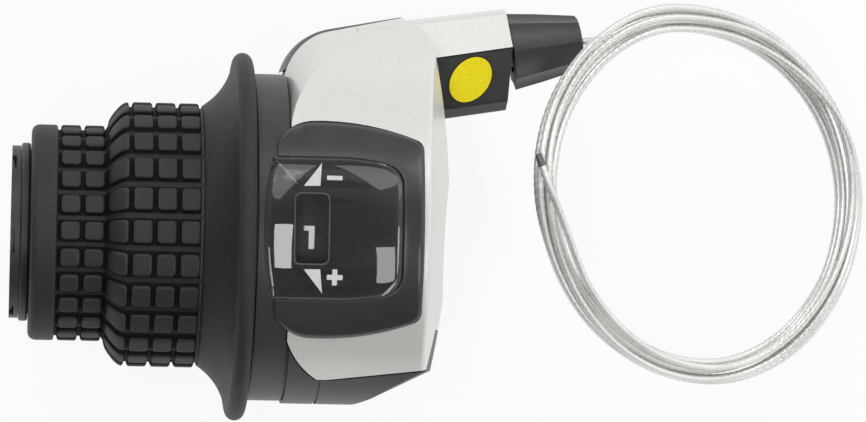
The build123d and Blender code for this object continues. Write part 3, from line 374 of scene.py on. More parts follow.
class Finish:
    """A material with one Principled shader, its even values set on the shader itself."""

    def __init__(self, name, **even):
        self.material = bpy.data.materials.new(name)
        self.material.use_nodes = True
        tree = self.material.node_tree
        tree.nodes.clear()
        self.shader = tree.nodes.new("ShaderNodeBsdfPrincipled")
        self.out = tree.nodes.new("ShaderNodeOutputMaterial")
        tree.links.new(self.shader.outputs[0], self.out.inputs[0])
        for key, value in even.items():
            self.shader.inputs[key.replace("_", " ")].default_value = value
        self.tone = Tone(tree)
        self.place = self.tone.node("ShaderNodeTexCoord", output="Object")

    def noise(self, scale, detail=2.0, roughness=0.5):
        """Even noise from 0 to 1, at so many cells in a metre."""
        inputs = {"Vector": self.place, "Scale": scale, "Detail": detail, "Roughness": roughness}
        return self.tone.node("ShaderNodeTexNoise", None, inputs)

    def flakes(self, scale):
        """Random value of each small cell."""
        inputs = {"Vector": self.place, "Scale": scale}
        cells = self.tone.node("ShaderNodeTexVoronoi", None, inputs, "Color")
        return self.tone.node("ShaderNodeSeparateColor", None, {0: cells})

    def attribute(self, name):
        """A value stored on the mesh."""
        return self.tone.node("ShaderNodeAttribute", {"attribute_name": name}, None, "Fac")

    def edges(self, low, high):
        """1 on outer edges and 0 on flat faces."""
        return self.tone.node("ShaderNodeNewGeometry", output="Pointiness").between(low, high)

    def feed(self, socket, tone):
        """Links a changing value to the shader."""
        self.tone.tree.links.new(tone.socket, self.shader.inputs[socket])

    def mix(self, factor, other):
        """Mixes another shader in by a factor."""
        own = Tone(self.tone.tree, self.shader.outputs[0])
        both = self.tone.node("ShaderNodeMixShader", None, {0: factor, 1: own, 2: other})
        self.tone.tree.links.new(both.socket, self.out.inputs[0])

    def bump(self, height, depth, strength=1.0):
        """Relief of a depth in metres."""
        inputs = {"Strength": strength, "Distance": depth, "Height": height}
        self.feed("Normal", self.tone.node("ShaderNodeBump", None, inputs))


def rubber_finish(finish, name, shine):
    """Matt moulded rubber: leathery grain, groove floors darkened as painted shade, rubbed block edges."""
    made = Finish(name, IOR=1.5, Specular_IOR_Level=shine)
    cloud, grain = made.noise(140.0, 3.0), made.noise(3400.0, 2.0)
    # Painted shade: the groove attribute darkens the colour towards the groove colour, unevenly by the
    # cloud
    floor = made.attribute("groove").between(0.0, 0.65)
    groove_shade = floor * (0.6 + 0.4 * cloud)
    body = cloud.between(0.25, 0.75).mixed(finish.rubber, [1.25 * part for part in finish.rubber])
    rubbed = made.edges(0.515, 0.60) * 0.45
    made.feed("Base Color", rubbed.mixed(groove_shade.mixed(body, finish.groove), (0.075, 0.075, 0.073)))
    made.feed("Roughness", 0.50 + 0.16 * grain + 0.12 * floor)
    made.bump(grain, 0.10 * MM, 0.9)
    return made.material


def silver_finish(finish):
    """Silver paint on plastic: fine flakes, light orange peel, a clear top coat."""
    made = Finish("silver_paint", Metallic=0.25, Coat_Weight=0.25, Coat_Roughness=0.18)
    flake, peel, cloud = made.flakes(9000.0), made.noise(1500.0, 1.0), made.noise(60.0)
    bright = [min(1.0, 1.12 * part) for part in finish.silver]
    dull = [0.90 * part for part in finish.silver]
    made.feed("Base Color", (0.55 * flake + 0.45 * cloud).mixed(dull, bright))
    made.feed("Roughness", 0.34 + 0.08 * flake)
    made.bump(peel, 0.006 * MM, 0.6)
    return made.material


def plastic_finish(name, shade, rough, grain_size=0.25, grain_depth=0.012, coat=0.0, shine=0.5):
    """Moulded plastic: fine spark grain, slight mottling, paler handled edges."""
    made = Finish(name, Coat_Weight=coat, Coat_Roughness=0.15, Specular_IOR_Level=shine)
    grain, cloud = made.noise(1.0 / (grain_size * MM), 2.0), made.noise(220.0, 3.0)
    body = cloud.between(0.3, 0.7).mixed([0.88 * part for part in shade], [1.15 * part for part in shade])
    worn = made.edges(0.53, 0.66) * 0.25
    made.feed("Base Color", worn.mixed(body, [min(1.0, 0.04 + 1.7 * part) for part in shade]))
    made.feed("Roughness", rough - 0.05 + 0.10 * grain)
    made.bump(grain, grain_depth * MM, 0.7)
    return made.material


def metal_finish(name, shade, rough, streak=900.0, metal=1.0):
    """Drawn or plated metal: fine streaks and small stains."""
    made = Finish(name, Metallic=metal)
    streaks, stain = made.noise(streak, 4.0, 0.65), made.noise(180.0, 2.0)
    dull = [0.72 * part for part in shade]
    made.feed("Base Color", (0.6 * streaks + 0.4 * stain).between(0.2, 0.65).mixed(dull, shade))
    made.feed("Roughness", rough - 0.06 + 0.16 * streaks)
    made.bump(streaks, 0.01 * MM, 0.4)
    return made.material


def lens_finish():
    """Clear moulded window with a trace of wear, which lets the lamps through to the numbers."""
    made = Finish(
        "clear_lens_moulded", Base_Color=(0.96, 0.955, 0.94, 1.0), Transmission_Weight=1.0, IOR=1.46
    )
    made.feed("Roughness", 0.015 + 0.03 * made.noise(700.0, 3.0).between(0.5, 0.8))
    lamp = 0.92 * made.tone.node("ShaderNodeLightPath", output="Is Shadow Ray")
    clear = made.tone.node("ShaderNodeBsdfTransparent", None, {"Color": (1.0, 1.0, 1.0, 1.0)})
    made.mix(lamp, clear)
    return made.material


def print_finish(name, shade):
    """Screen-printed ink with slightly uneven cover."""
    made = Finish(name, Specular_IOR_Level=0.3)
    cover = made.noise(2600.0, 2.0)
    made.feed("Base Color", cover.between(0.2, 0.6).mixed([0.86 * part for part in shade], shade))
    made.feed("Roughness", 0.42 + 0.14 * cover)
    return made.material


def paint(material, *nodes):
    """Gives CAD nodes a finish."""
    for node in nodes:
        for slot in NODES[node].material_slots:
            slot.material = material


def new_piece(name, mesh, material, body):
    """Shows a mesh as a piece that rides on a body."""
    piece = bpy.data.objects.new(name, mesh)
    bpy.context.scene.collection.objects.link(piece)
    for one in material if isinstance(material, list) else [material]:
        mesh.materials.append(one)
    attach(piece, body)
    return piece


def mesh_of(name, points, faces, smooth=True):
    """A mesh whose faces all look outwards."""
    mesh = bpy.data.meshes.new(name)
    mesh.from_pydata(points, [], faces)
    work = bmesh.new()
    work.from_mesh(mesh)
    bmesh.ops.recalc_face_normals(work, faces=work.faces)
    work.to_mesh(mesh)
    work.free()
    if smooth:
        mesh.shade_smooth()
    return mesh


def tube_faces(layers, around, closed=False):
    """Faces between layers of points, each layer a closed ring."""
    faces = []
    for ring in range(layers if closed else layers - 1):
        low, high = ring * around, (ring + 1) % layers * around
        for step in range(around):
            after = (step + 1) % around
            faces.append((low + step, low + after, high + after, high + step))
    return faces


def capped_tube(layers, around):
    """Faces of a tube of such layers with both ends closed."""
    last = (layers - 1) * around
    return tube_faces(layers, around) + [tuple(range(around)), tuple(range(last, last + around))]


def arc_points(first, middle, last, count):
    """Points of the arc through three points of a plane, without the first."""
    a, b, c = (np.array(point, float) for point in (first, middle, last))
    sides = np.array([b - a, c - a]) * 2
    centre = np.linalg.solve(sides, [b @ b - a @ a, c @ c - a @ a])
    radius = np.linalg.norm(a - centre)
    angles = np.unwrap([math.atan2(*(point - centre)[::-1]) for point in (a, b, c)])
    swing = np.linspace(angles[0], angles[2], count + 1)[1:]
    return [tuple(centre + radius * np.array([math.cos(t), math.sin(t)])) for t in swing]


def block_skin(grip, x):
    """Radius over the blocks: narrow, a short rise, then wide."""
    start = GRIP_LOW.x + grip.band + grip.rise * grip.pitch
    rise = min(max((x - start) / grip.pitch, 0.0), 1.0)
    return grip.narrow + (grip.wide - grip.narrow) * math.sin(rise * math.pi / 2)


def near_edges(start, size, steps):
    """Places across a block, close together at its edges."""
    first = [start + step for step in steps]
    return [*first, start + size / 2, *(start + size - step for step in steps[::-1])]


def block_lines(grip):
    """Places of the mesh lines along the grip, from the first groove to the bell."""
    steps = [step * MM for step in (0.0, 0.05, 0.12, 0.22, 0.38, 0.62, 0.95)]
    lines = []
    for column in range(grip.columns):
        x0 = GRIP_LOW.x + grip.band + column * grip.pitch
        lines += [x0 + grip.groove / 2]
        lines += near_edges(x0 + grip.groove, grip.pitch - grip.groove, steps)
    return lines


def row_lines(grip):
    """Angles of the mesh lines round the grip."""
    pitch = 2 * math.pi / grip.rows
    steps = [math.radians(step) for step in (0.0, 0.15, 0.35, 0.65, 1.1, 1.8, 2.8)]
    half = grip.row_groove / 2
    middle = FLOOR_MIDDLE * half
    one = [0.0, middle] + near_edges(half, pitch - grip.row_groove, steps) + [pitch - middle]
    return np.array([grip.phase + row * pitch + step for row in range(grip.rows) for step in one])


def block_height(grip, x, angles):
    """Height of the blocks over the groove floor, the floor's extra depth and how much painted shade the
    groove gets.
    """
    pitch = 2 * math.pi / grip.rows
    skin = block_skin(grip, x)
    turn = (angles - grip.phase + pitch / 2) % pitch - pitch / 2
    across = (pitch / 2 - np.abs(turn)) * skin
    start = GRIP_LOW.x + grip.band
    along = (x - start) % grip.pitch - grip.groove
    half_along = (grip.pitch - grip.groove) / 2
    half_across = (pitch - grip.row_groove) / 2 * skin
    q = np.stack([across - half_across, np.full_like(across, abs(along - half_along) - half_along)])
    q += grip.corner
    outside = np.linalg.norm(np.maximum(q, 0.0), axis=0)
    depth = grip.corner - outside - np.minimum(q.max(axis=0), 0.0)
    rise = np.clip(depth / grip.edge, 0.0, 1.0)
    raised = grip.height * np.sqrt(1.0 - (1.0 - rise) ** 2)
    middle = np.abs(turn) < FLOOR_MIDDLE * grip.row_groove / 2 + 1e-6
    # Painted shade: darker the lower the rubber lies under the block tops, a fixed share in the groove's
    # flat middle
    dark = np.where(middle, FLOOR_SHADE, 1.0 - raised / grip.height)
    return raised, np.where(across > half_across, grip.deeper, 0.0), dark


def rubber_rings(grip):
    """Rings of the rubber cover: (x, radius, share of painted groove shade) with a value for each angle."""
    angles = row_lines(grip)
    x0, x1 = GRIP_LOW.x, GRIP_HIGH.x
    blocks = x0 + grip.band
    bell = blocks + grip.columns * grip.pitch
    rim_start, rim_r = x1 - grip.rim_run, GRIP_HIGH.z - grip.rim_drop
    start = (x0, grip.narrow - grip.round)
    turn = grip.round * (1 - math.sqrt(0.5))
    plain = [(x0, grip.inner), start]
    plain += arc_points(start, (x0 + turn, grip.narrow - turn), (x0 + grip.round, grip.narrow), 6)
    plain += [(blocks - 0.5 * MM, grip.narrow), (blocks - 0.2 * MM, grip.narrow - 0.03 * MM)]
    plain += [(blocks - 0.05 * MM, grip.narrow - 0.16 * MM), (blocks, grip.narrow - 0.4 * MM)]
    plain += [(blocks, grip.narrow - grip.height)]
    rings = [(x, np.full_like(angles, r), np.zeros_like(angles)) for x, r in plain]
    for x in block_lines(grip):
        raised, deeper, dark = block_height(grip, x, angles)
        floor = block_skin(grip, x) - grip.height - deeper
        rings.append((x, floor + raised, dark))
    lip = bell + grip.groove
    foot = grip.wide - grip.height
    flare = [(bell, foot), (bell + grip.groove / 2, foot), (lip, foot), (lip, grip.wide - 0.45 * MM)]
    flare += [(lip + 0.06 * MM, grip.wide - 0.30 * MM), (lip + 0.2 * MM, grip.wide - 0.2 * MM)]
    knee = (lip + (rim_start - lip) * grip.knee_place, grip.knee)
    flare += arc_points((lip, grip.wide - 0.3 * MM), knee, (rim_start, rim_r), 18)[1:]
    flare += arc_points((rim_start, rim_r), ((rim_start + x1) / 2, GRIP_HIGH.z), (x1, rim_r), 14)
    seat_x = x1 - grip.seat_depth
    rise_x = blocks + grip.rise * grip.pitch
    flare += [(x1, grip.seat), (seat_x, grip.seat), (seat_x, grip.inner_wide)]
    flare += [(rise_x + grip.pitch, grip.inner_wide), (rise_x, grip.inner)]
    rings += [(x, np.full_like(angles, r), np.zeros_like(angles)) for x, r in flare]
    return angles, rings


def rubber_mesh(grip):
    """The closed rubber cover with its rounded blocks."""
    angles, rings = rubber_rings(grip)
    around, count = len(angles), len(rings)
    points = []
    for x, radius, _ in rings:
        points += zip(np.full(around, x), radius * np.cos(angles), radius * np.sin(angles))
    mesh = mesh_of("grip_rubber_moulding", points, tube_faces(count, around, True))
    # The groove attribute holds the painted shade in the grooves; faces deep in the grooves get the second
    # material, whose lower shine adds painted shade
    groove = mesh.attributes.new("groove", "FLOAT", "POINT")
    shares = np.concatenate([share for _, _, share in rings])
    groove.data.foreach_set("value", shares.astype(np.float32))
    marks = [int(shares[list(face.vertices)].mean() > WALL_SHADE) for face in mesh.polygons]
    mesh.polygons.foreach_set("material_index", marks)
    return mesh


def raised_print(name, flat, surface, low, high):
    """A flat mesh in millimetres laid on a surface as a thin closed layer."""
    work = bmesh.new()
    work.from_mesh(flat)
    bmesh.ops.triangulate(work, faces=work.faces)
    for _ in range(5):
        long_edges = [edge for edge in work.edges if edge.calc_length() > 0.7]
        if long_edges:
            bmesh.ops.subdivide_edges(work, edges=long_edges, cuts=1)
            bmesh.ops.triangulate(work, faces=work.faces)
    base = list(work.verts)
    grown = bmesh.ops.extrude_face_region(work, geom=work.faces[:])
    top = [item for item in grown["geom"] if isinstance(item, bmesh.types.BMVert)]
    for verts, lift in ((base, low), (top, high)):
        for vert in verts:
            vert.co = surface(vert.co.x, vert.co.y, lift)
    bmesh.ops.recalc_face_normals(work, faces=work.faces)
    mesh = bpy.data.meshes.new(name)
    work.to_mesh(mesh)
    work.free()
    return mesh


def on_mask(window):
    """The mask's face, as a surface for prints."""

    def place(x, y, lift):
        radius = window.mask + lift
        return Vector((x * MM, y * MM, math.sqrt(radius ** 2 - (y * MM) ** 2)))

    return place


def flat_polygons(outlines):
    """A flat mesh of closed outlines."""
    mesh = bpy.data.meshes.new("outline")
    points, faces = [], []
    for outline in outlines:
        faces.append(tuple(range(len(points), len(points) + len(outline))))
        points += [(x, y, 0.0) for x, y in outline]
    mesh.from_pydata(points, [], faces)
    return mesh


def digit_outline(number, height, stroke):
    """Outline of a plain gear number, centred, in the units of its height."""
    h, w, s = height / 2, 0.28 * height, stroke
    if number == 1:
        return [(-w + 0.25 * s, h), (w - 0.25 * s, h), (w - 0.25 * s, -h), (w - 1.25 * s, -h),
                (w - 1.25 * s, h - 0.9 * s), (-w + 0.25 * s, h - 0.9 * s)]
    top = [(-w, h), (w, h)]
    bar = [(w - s, h - s), (-w, h - s)]
    if number == 2:
        low = [(w, -s / 2), (s - w, -s / 2), (s - w, s - h), (w, s - h), (w, -h), (-w, -h), (-w, s / 2)]
        return [*top, *low, (w - s, s / 2), *bar]
    low = [(w, -h), (-w, -h), (-w, s - h), (w - s, s - h), (w - s, -s / 2), (0.3 * s - w, -s / 2)]
    return [*top, *low, (0.3 * s - w, s / 2), (w - s, s / 2), *bar]


def rounded(outline, radius):
    """An outline with its corners rounded off."""
    soft = []
    count = len(outline)
    for index, corner in enumerate(np.array(outline, float)):
        before, after = np.array(outline[index - 1]), np.array(outline[(index + 1) % count])
        ends = [corner + (end - corner) * radius / np.linalg.norm(end - corner) for end in (before, after)]
        for t in (0.0, 0.3, 0.7, 1.0):
            soft.append(tuple((1 - t) ** 2 * ends[0] + 2 * t * (1 - t) * corner + t * t * ends[1]))
    return soft


def flat_with_hole(outer, hole):
    """A flat mesh between two closed outlines."""
    work = bmesh.new()
    for outline in (outer, hole):
        verts = [work.verts.new((x, y, 0.0)) for x, y in outline]
        for one, after in zip(verts, verts[1:] + verts[:1]):
            work.edges.new((one, after))
    bmesh.ops.triangle_fill(work, use_beauty=True, edges=work.edges[:])
    mesh = bpy.data.meshes.new("outline")
    work.to_mesh(mesh)
    work.free()
    return mesh


def box_outline(x, y, width, height):
    """Corners of a rectangle about a middle."""
    return [
        (x - width / 2, y - height / 2),
        (x + width / 2, y - height / 2),
        (x + width / 2, y + height / 2),
        (x - width / 2, y + height / 2),
    ]


def bend_points(start, way, end, count):
    """Points of the arc that leaves a point one way and ends at another, without the first."""
    a, along, chord = np.array(start), np.array(way) / np.linalg.norm(way), np.array(end) - np.array(start)
    across = np.array([-along[1], along[0]])
    lean = chord @ across
    centre = a + across * (chord @ chord) / (2 * lean)
    swing = 2 * math.atan2(lean, chord @ along)
    points = []
    for turn in np.linspace(0.0, swing, count + 1)[1:]:
        c, s = math.cos(turn), math.sin(turn)
        points.append(tuple(centre + np.array([[c, -s], [s, c]]) @ (a - centre)))
    return points


def round_points(start, tip, end, count):
    """Points round a corner, without the first."""
    start, tip, end = (np.array(point) for point in (start, tip, end))
    shares = np.linspace(0.0, 1.0, count + 1)[1:]
    return [tuple((1 - t) ** 2 * start + 2 * t * (1 - t) * tip + t * t * end) for t in shares]


def lens_outline(window):
    """Plan of the lens: bowed outboard end, sides that curve in to round inboard corners."""
    turn = (window.left + window.right) / 2
    side = [(window.left + (turn - window.left) * step / 10, window.half) for step in range(11)]
    side += [
        point
        for point in bend_points(side[-1], (1.0, 0.0), (window.right, window.half_right), 12)
        if point[0] < window.right - window.corner
    ]
    end = window.half_right - window.corner
    side += round_points(side[-1], (window.right, window.half_right + 0.03 * MM), (window.right, end), 12)
    side += [(window.right, end * (1 - step / 7)) for step in range(1, 8)]
    tip = (window.left - window.bulge, 0.0)
    bow = arc_points((window.left, -window.half), tip, (window.left, window.half), 28)
    loop = side + [(x, -y) for x, y in side[-2::-1]] + bow[:-1]
    return np.array([(x, window.middle + y) for x, y in loop])


def inset(loop, distance):
    """A closed outline moved inwards."""
    along = np.roll(loop, -1, axis=0) - np.roll(loop, 1, axis=0)
    inward = np.stack([along[:, 1], -along[:, 0]], axis=1) / np.linalg.norm(along, axis=1)[:, None]
    return loop + inward * distance


def rolled(share):
    """Fall of a rolled edge at a share of its width: 1 at the edge and 0 at its end."""
    return 1 - math.sqrt(1 - (1 - share) ** 2)


def lens_mesh(window):
    """The clear window: crowned both ways, with a rolled edge, closed underneath."""
    loop = lens_outline(window)
    centre = loop.mean(axis=0)
    middle = (window.left - window.bulge + window.right) / 2

    def top(spots, share):
        radius = window.crown - window.bend + np.sqrt(window.bend ** 2 - (spots[:, 0] - middle) ** 2)
        height = np.sqrt(radius ** 2 - spots[:, 1] ** 2) - window.drop * rolled(share)
        return np.column_stack([spots, height])

    layers = []
    for share in (0.92, 0.75, 0.5, 0.25, 0.0):
        spots = loop + (centre - loop) * share
        layers.append(np.column_stack([spots, np.sqrt(window.inside ** 2 - spots[:, 1] ** 2)]))
    for share in (0.0, 0.02, 0.06, 0.12, 0.20, 0.30, 0.42, 0.56, 0.72, 0.88, 1.0):
        layers.append(top(inset(loop, window.roll * share), share))
    inner = inset(loop, window.roll)
    for share in (0.06, 0.14, 0.24, 0.36, 0.50, 0.65, 0.80, 0.92):
        layers.append(top(inner + (centre - inner) * share, 1.0))
    faces = capped_tube(len(layers), len(loop))
    mesh = mesh_of("window_lens", np.concatenate(layers).tolist(), faces)
    mesh.set_sharp_from_angle(angle=math.radians(50.0))
    return mesh


def evenly(path, count):
    """Evenly spaced points along a path of points."""
    path = np.array(path)
    travel = np.concatenate([[0.0], np.cumsum(np.linalg.norm(np.diff(path, axis=0), axis=1))])
    places = np.linspace(0.0, travel[-1], count)
    return np.column_stack([np.interp(places, travel, path[:, axis]) for axis in (0, 1)])


def bezel_mesh(window, bezel):
    """The frame round the lens: open outboard, with a rolled outer edge and a soft inner one."""
    right, tip = (bezel.right, bezel.half_right), (bezel.left, bezel.half_left)
    bow = [right, *arc_points(right, tuple(bezel.shoulder), tuple(bezel.peak), 60)]
    bow += bend_points(bow[-1], np.subtract(bow[-1], bow[-2]), tip, 20)
    side = [point for point in bow[::-1] if point[0] < bezel.right - bezel.corner]
    end = bezel.half_right - bezel.corner
    side += round_points(side[-1], right, (bezel.right, end), 8)
    side += [(bezel.right, end * (1 - step / 8)) for step in range(1, 9)]
    outer = [(x, bezel.middle + y) for x, y in side + [(x, -y) for x, y in side[-2::-1]]]
    lens = inset(lens_outline(window), -0.05 * MM)
    inner = [spot for spot in lens if spot[0] > bezel.left]
    inner = [(bezel.left, inner[0][1]), *inner, (bezel.left, inner[-1][1])]
    count = 170
    outer, inner = evenly(outer, count), evenly(inner, count)
    way = inner - outer
    way /= np.linalg.norm(way, axis=1)[:, None]

    def lay(spots, fall):
        return np.column_stack([spots, np.sqrt(bezel.radius ** 2 - spots[:, 1] ** 2) - fall])

    def foot(spots):
        radius = np.where(spots[:, 0] < bezel.ring_end, bezel.over_ring, bezel.seat)
        return np.column_stack([spots, np.sqrt(radius ** 2 - spots[:, 1] ** 2)])

    rows = [foot(outer)]
    for share in (0.0, 0.04, 0.12, 0.24, 0.40, 0.58, 0.78, 1.0):
        rows.append(lay(outer + way * bezel.roll * share, bezel.drop * rolled(share)))
    start, stop = outer + way * bezel.roll, inner - way * bezel.lip
    rows += [lay(start + (stop - start) * share, 0.0) for share in (0.3, 0.65, 1.0)]
    for share in (0.6, 0.3, 0.1, 0.0):
        rows.append(lay(inner - way * bezel.lip * share, bezel.lip * rolled(share)))
    rows.append(foot(inner))
    points = np.stack(rows, axis=1).reshape(-1, 3)
    mesh = mesh_of("bezel_frame", points.tolist(), capped_tube(count, len(rows)))
    mesh.set_sharp_from_angle(angle=math.radians(40.0))
    return mesh


def line_of(name, points, steps):
    """Points along the smooth NURBS line of a route."""
    curve = bpy.data.curves.new(name, "CURVE")
    curve.dimensions = "3D"
    spline = curve.splines.new("NURBS")
    spline.points.add(len(points) - 1)
    for point, place in zip(spline.points, points):
        point.co = (*place, 1.0)
    spline.order_u = 3
    spline.use_endpoint_u = True
    spline.resolution_u = steps
    holder = bpy.data.objects.new(name, curve)
    bpy.context.scene.collection.objects.link(holder)
    bpy.context.view_layer.update()
    mesh = bpy.data.meshes.new_from_object(holder.evaluated_get(bpy.context.evaluated_depsgraph_get()))
    line = [vert.co.copy() for vert in mesh.vertices]
    bpy.data.objects.remove(holder)
    return line


def coil_point(phi, out, up):
    """A place in the coil: angle in its plane, offsets outwards and along its normal."""
    a, b = COIL_HALF
    c, s = math.cos(phi), math.sin(phi)
    normal = Vector((b * c, a * s, 0.0)).normalized()
    return COIL_PLACE @ (Vector((a * c, b * s, 0.0)) + normal * out + Vector((0.0, 0.0, up)))


def bow_of(phi):
    """How far the whole bundle leaves the even ring at an angle, level with the floor."""
    places, bows = zip(*COIL_BOW)
    return np.interp(math.degrees(phi), places, bows, period=360.0) * MM


def bowed_point(phi, out, up):
    """A place in the coil with the bundle's bow."""
    place = coil_point(phi, out, up)
    way = coil_point(phi, out + MM, up) - place
    way.z = 0.0
    return place + way.normalized() * bow_of(phi)


def coil_route(cable):
    """Points of the free cable: out of the knob, into the coil, round it and off to the bare tip."""
    mouth = ARM_POINT + ARM_DIR * KNOB_MOUTH
    points = [mouth, mouth + ARM_DIR * LEAD_STRAIGHT * 0.5, mouth + ARM_DIR * LEAD_STRAIGHT, *LEAD_POINTS]
    local = COIL_PLACE.inverted() @ LEAD_POINTS[-1]
    start = math.atan2(local.y / COIL_HALF[1], local.x / COIL_HALF[0])
    turns = len(COIL_SLOTS) - 1
    last = math.radians(COIL_END[0][0])
    total = (turns - 1) * 2 * math.pi + (start - last) % (2 * math.pi)
    count = int(total / (2 * math.pi) * cable.points)
    for step in range(1, count):
        swing = total * step / count
        turn = swing / (2 * math.pi)
        slot = min(int(turn), turns - 1)
        low, high = CROSSING if slot == CROSSING_TURN else SHIFT
        mix = min(max((turn - slot - low) / (high - low), 0.0), 1.0)
        hump = CROSSING_LIFT * math.sin(mix * math.pi) if slot == CROSSING_TURN else 0.0
        mix = mix * mix * (3.0 - 2.0 * mix)
        (out0, up0), (out1, up1) = COIL_SLOTS[slot], COIL_SLOTS[slot + 1]
        phi = start - swing
        wander = math.sin(2.0 * phi + 2.4 * turn) + 0.6 * math.sin(3.0 * phi - 1.7 * turn)
        lift = math.sin(2.0 * phi - 1.3 * turn + 1.0)
        out = (out0 + (out1 - out0) * mix) * MM + cable.loose * wander
        up = (up0 + (up1 - up0) * mix + hump) * MM + 0.6 * cable.loose * lift
        points.append(bowed_point(phi, out, up))
    points += [bowed_point(math.radians(turn), out * MM, up * MM) for turn, out, up in COIL_END]
    return points


def strand_tube(name, line, cable):
    """A round wire of twisted strands along a line; its last stretch is the fused tip."""
    around = 3 * cable.strands
    turns = np.arange(around) * 2 * math.pi / around
    places = np.array(line)
    runs = np.linalg.norm(np.diff(places, axis=0), axis=1)
    travel = np.concatenate([[0.0], np.cumsum(runs)])
    left = travel[-1] - travel
    side = ARM_SIDE.copy()
    points = []
    for ring, place in enumerate(line):
        ahead = line[min(ring + 1, len(line) - 1)] - line[max(ring - 1, 0)]
        ahead.normalize()
        side = (side - ahead * side.dot(ahead)).normalized()
        lift = ahead.cross(side)
        fused = min(max(1.0 - left[ring] / cable.tip, 0.0), 1.0)
        lobes = 0.10 * (1.0 - fused) * (0.5 - 0.5 * np.cos(cable.strands * turns))
        radius = cable.thickness / 2 * (1.0 - lobes) * (1.0 - 0.25 * fused ** 4)
        spin = turns + 2 * math.pi * travel[ring] / cable.lay
        for one, size in zip(spin, radius):
            points.append(place + (side * math.cos(one) + lift * math.sin(one)) * size)
    mesh = mesh_of(name, points, capped_tube(len(line), around))
    marks = np.concatenate([np.repeat(left[1:] < cable.tip, around), [False, True]])
    mesh.polygons.foreach_set("material_index", marks.astype(np.int32))
    return mesh


class SHIFTER_OT_housing(bpy.types.Operator):
    """Finish the clamp base and the silver cover"""

    bl_idname = "shifter.housing"
    bl_label = "Housing"

    def execute(self, context):
        finish = context.scene.shifter.finish
        paint(plastic_finish("housing_black", finish.black, 0.42, 0.22, 0.012), "clamp_base")
        paint(silver_finish(finish), "top_cover")
        ring = plastic_finish("ring_black", [0.8 * part for part in finish.black], 0.48)
        paint(ring, "thrust_washer", "retaining_collar")
        return {"FINISHED"}


class SHIFTER_OT_gear_window(bpy.types.Operator):
    """Finish the gear window and print its signs and numbers"""

    bl_idname = "shifter.gear_window"
    bl_label = "Gear window"

    def execute(self, context):
        settings = context.scene.shifter
        finish, window = settings.finish, settings.window
        satin = plastic_finish("bezel_satin", finish.bezel, 0.30, 0.3, 0.003, 0.3)
        bezel = new_piece("bezel_frame", bezel_mesh(window, settings.bezel), satin, "housing")
        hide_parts("indicator_bezel")
        matt = plastic_finish("plate_matt", finish.plate, 0.5, shine=0.15)
        paint(matt, "indicator_plate")
        dull = plastic_finish("dial_matt", finish.plate, 0.5, shine=0.2)
        paint(dull, "gear_dial")
        self.lengthen_dial(window, dull)
        lens = new_piece("window_lens", lens_mesh(window), lens_finish(), "housing")
        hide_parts("indicator_lens")
        ink = print_finish("white_ink", finish.white)
        self.lay_mask(window, matt, print_finish("window_line_ink", finish.line))
        self.print_signs(window, ink)
        self.print_numbers(window, ink)
        return {"FINISHED"}

    def lay_mask(self, window, matt, line):
        """The dark film under the lens, with a pale line round the number window."""
        middle_x, middle_y = -15.45, 1.6
        wide, high, rim = 5.0, 10.3, 0.3
        hole = rounded(box_outline(middle_x, middle_y, wide, high), 0.9)
        edge = rounded(box_outline(middle_x, middle_y, wide + rim, high + rim), 1.0)
        outer = inset(lens_outline(window), 0.12 * MM) / MM
        film = raised_print("window_mask", flat_with_hole(outer, hole), on_mask(window), -0.05 * MM, 0.0)
        new_piece("window_mask", film, matt, "housing")
        border = raised_print("window_line", flat_with_hole(edge, hole), on_mask(window), 0.0, 0.02 * MM)
        new_piece("window_line", border, line, "housing")

    def lengthen_dial(self, window, dull):
        """A tail on the dial, which fills the number window at the last gear."""
        low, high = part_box("gear_dial")
        start = math.acos(high.y / DIAL_R)
        wide, run = (high.x - low.x) / MM, DIAL_R * window.tail / MM

        def on_tail(x, y, lift):
            radius, turn = DIAL_R + lift, start - y * MM / DIAL_R
            return Vector(((low.x + high.x) / 2 + x * MM, radius * math.cos(turn), radius * math.sin(turn)))

        flat = flat_polygons([box_outline(0.0, run / 2, wide, run)])
        mesh = raised_print("dial_tail", flat, on_tail, -0.6 * MM, 0.0)
        new_piece("dial_tail", mesh, dull, "grip")

    def print_signs(self, window, ink):
        """Two triangles, a minus and a plus on the mask."""
        plus_x, plus_y, long, wide = -11.9, -5.5, 2.35, 0.74
        half, side = long / 2, wide / 2
        plus = [(-half, side), (-side, side), (-side, half), (side, half), (side, side), (half, side)]
        plus += [(-x, -y) for x, y in plus]
        signs = {
            "sign_less": [
                [(-16.75, 7.85), (-14.3, 7.9), (-14.05, 11.2)],
                rounded(box_outline(-12.15, 9.1, 2.3, 0.64), 0.1),
            ],
            "sign_more": [
                [(-16.55, -4.4), (-13.7, -7.85), (-14.1, -4.35)],
                rounded([(plus_x + x, plus_y + y) for x, y in plus], 0.1),
            ],
        }
        for name, outlines in signs.items():
            mesh = raised_print(name, flat_polygons(outlines), on_mask(window), -0.02 * MM, 0.024 * MM)
            new_piece(name, mesh, ink, "housing")

    def print_numbers(self, window, ink):
        """The gear numbers round the dial."""
        for gear in range(3):
            middle = math.pi / 2 - window.first - gear * window.step

            def on_dial(x, y, lift):
                radius = DIAL_R + lift
                turn = middle - y * MM / DIAL_R
                return Vector((window.digit_x + x * MM, radius * math.cos(turn), radius * math.sin(turn)))

            name = f"number_{gear + 1}"
            outline = digit_outline(gear + 1, window.digit / MM, window.stroke / MM)
            flat = flat_polygons([rounded(outline, 0.14)])
            mesh = raised_print(name, flat, on_dial, -0.05 * MM, window.lift)
            new_piece(name, mesh, ink, "grip")


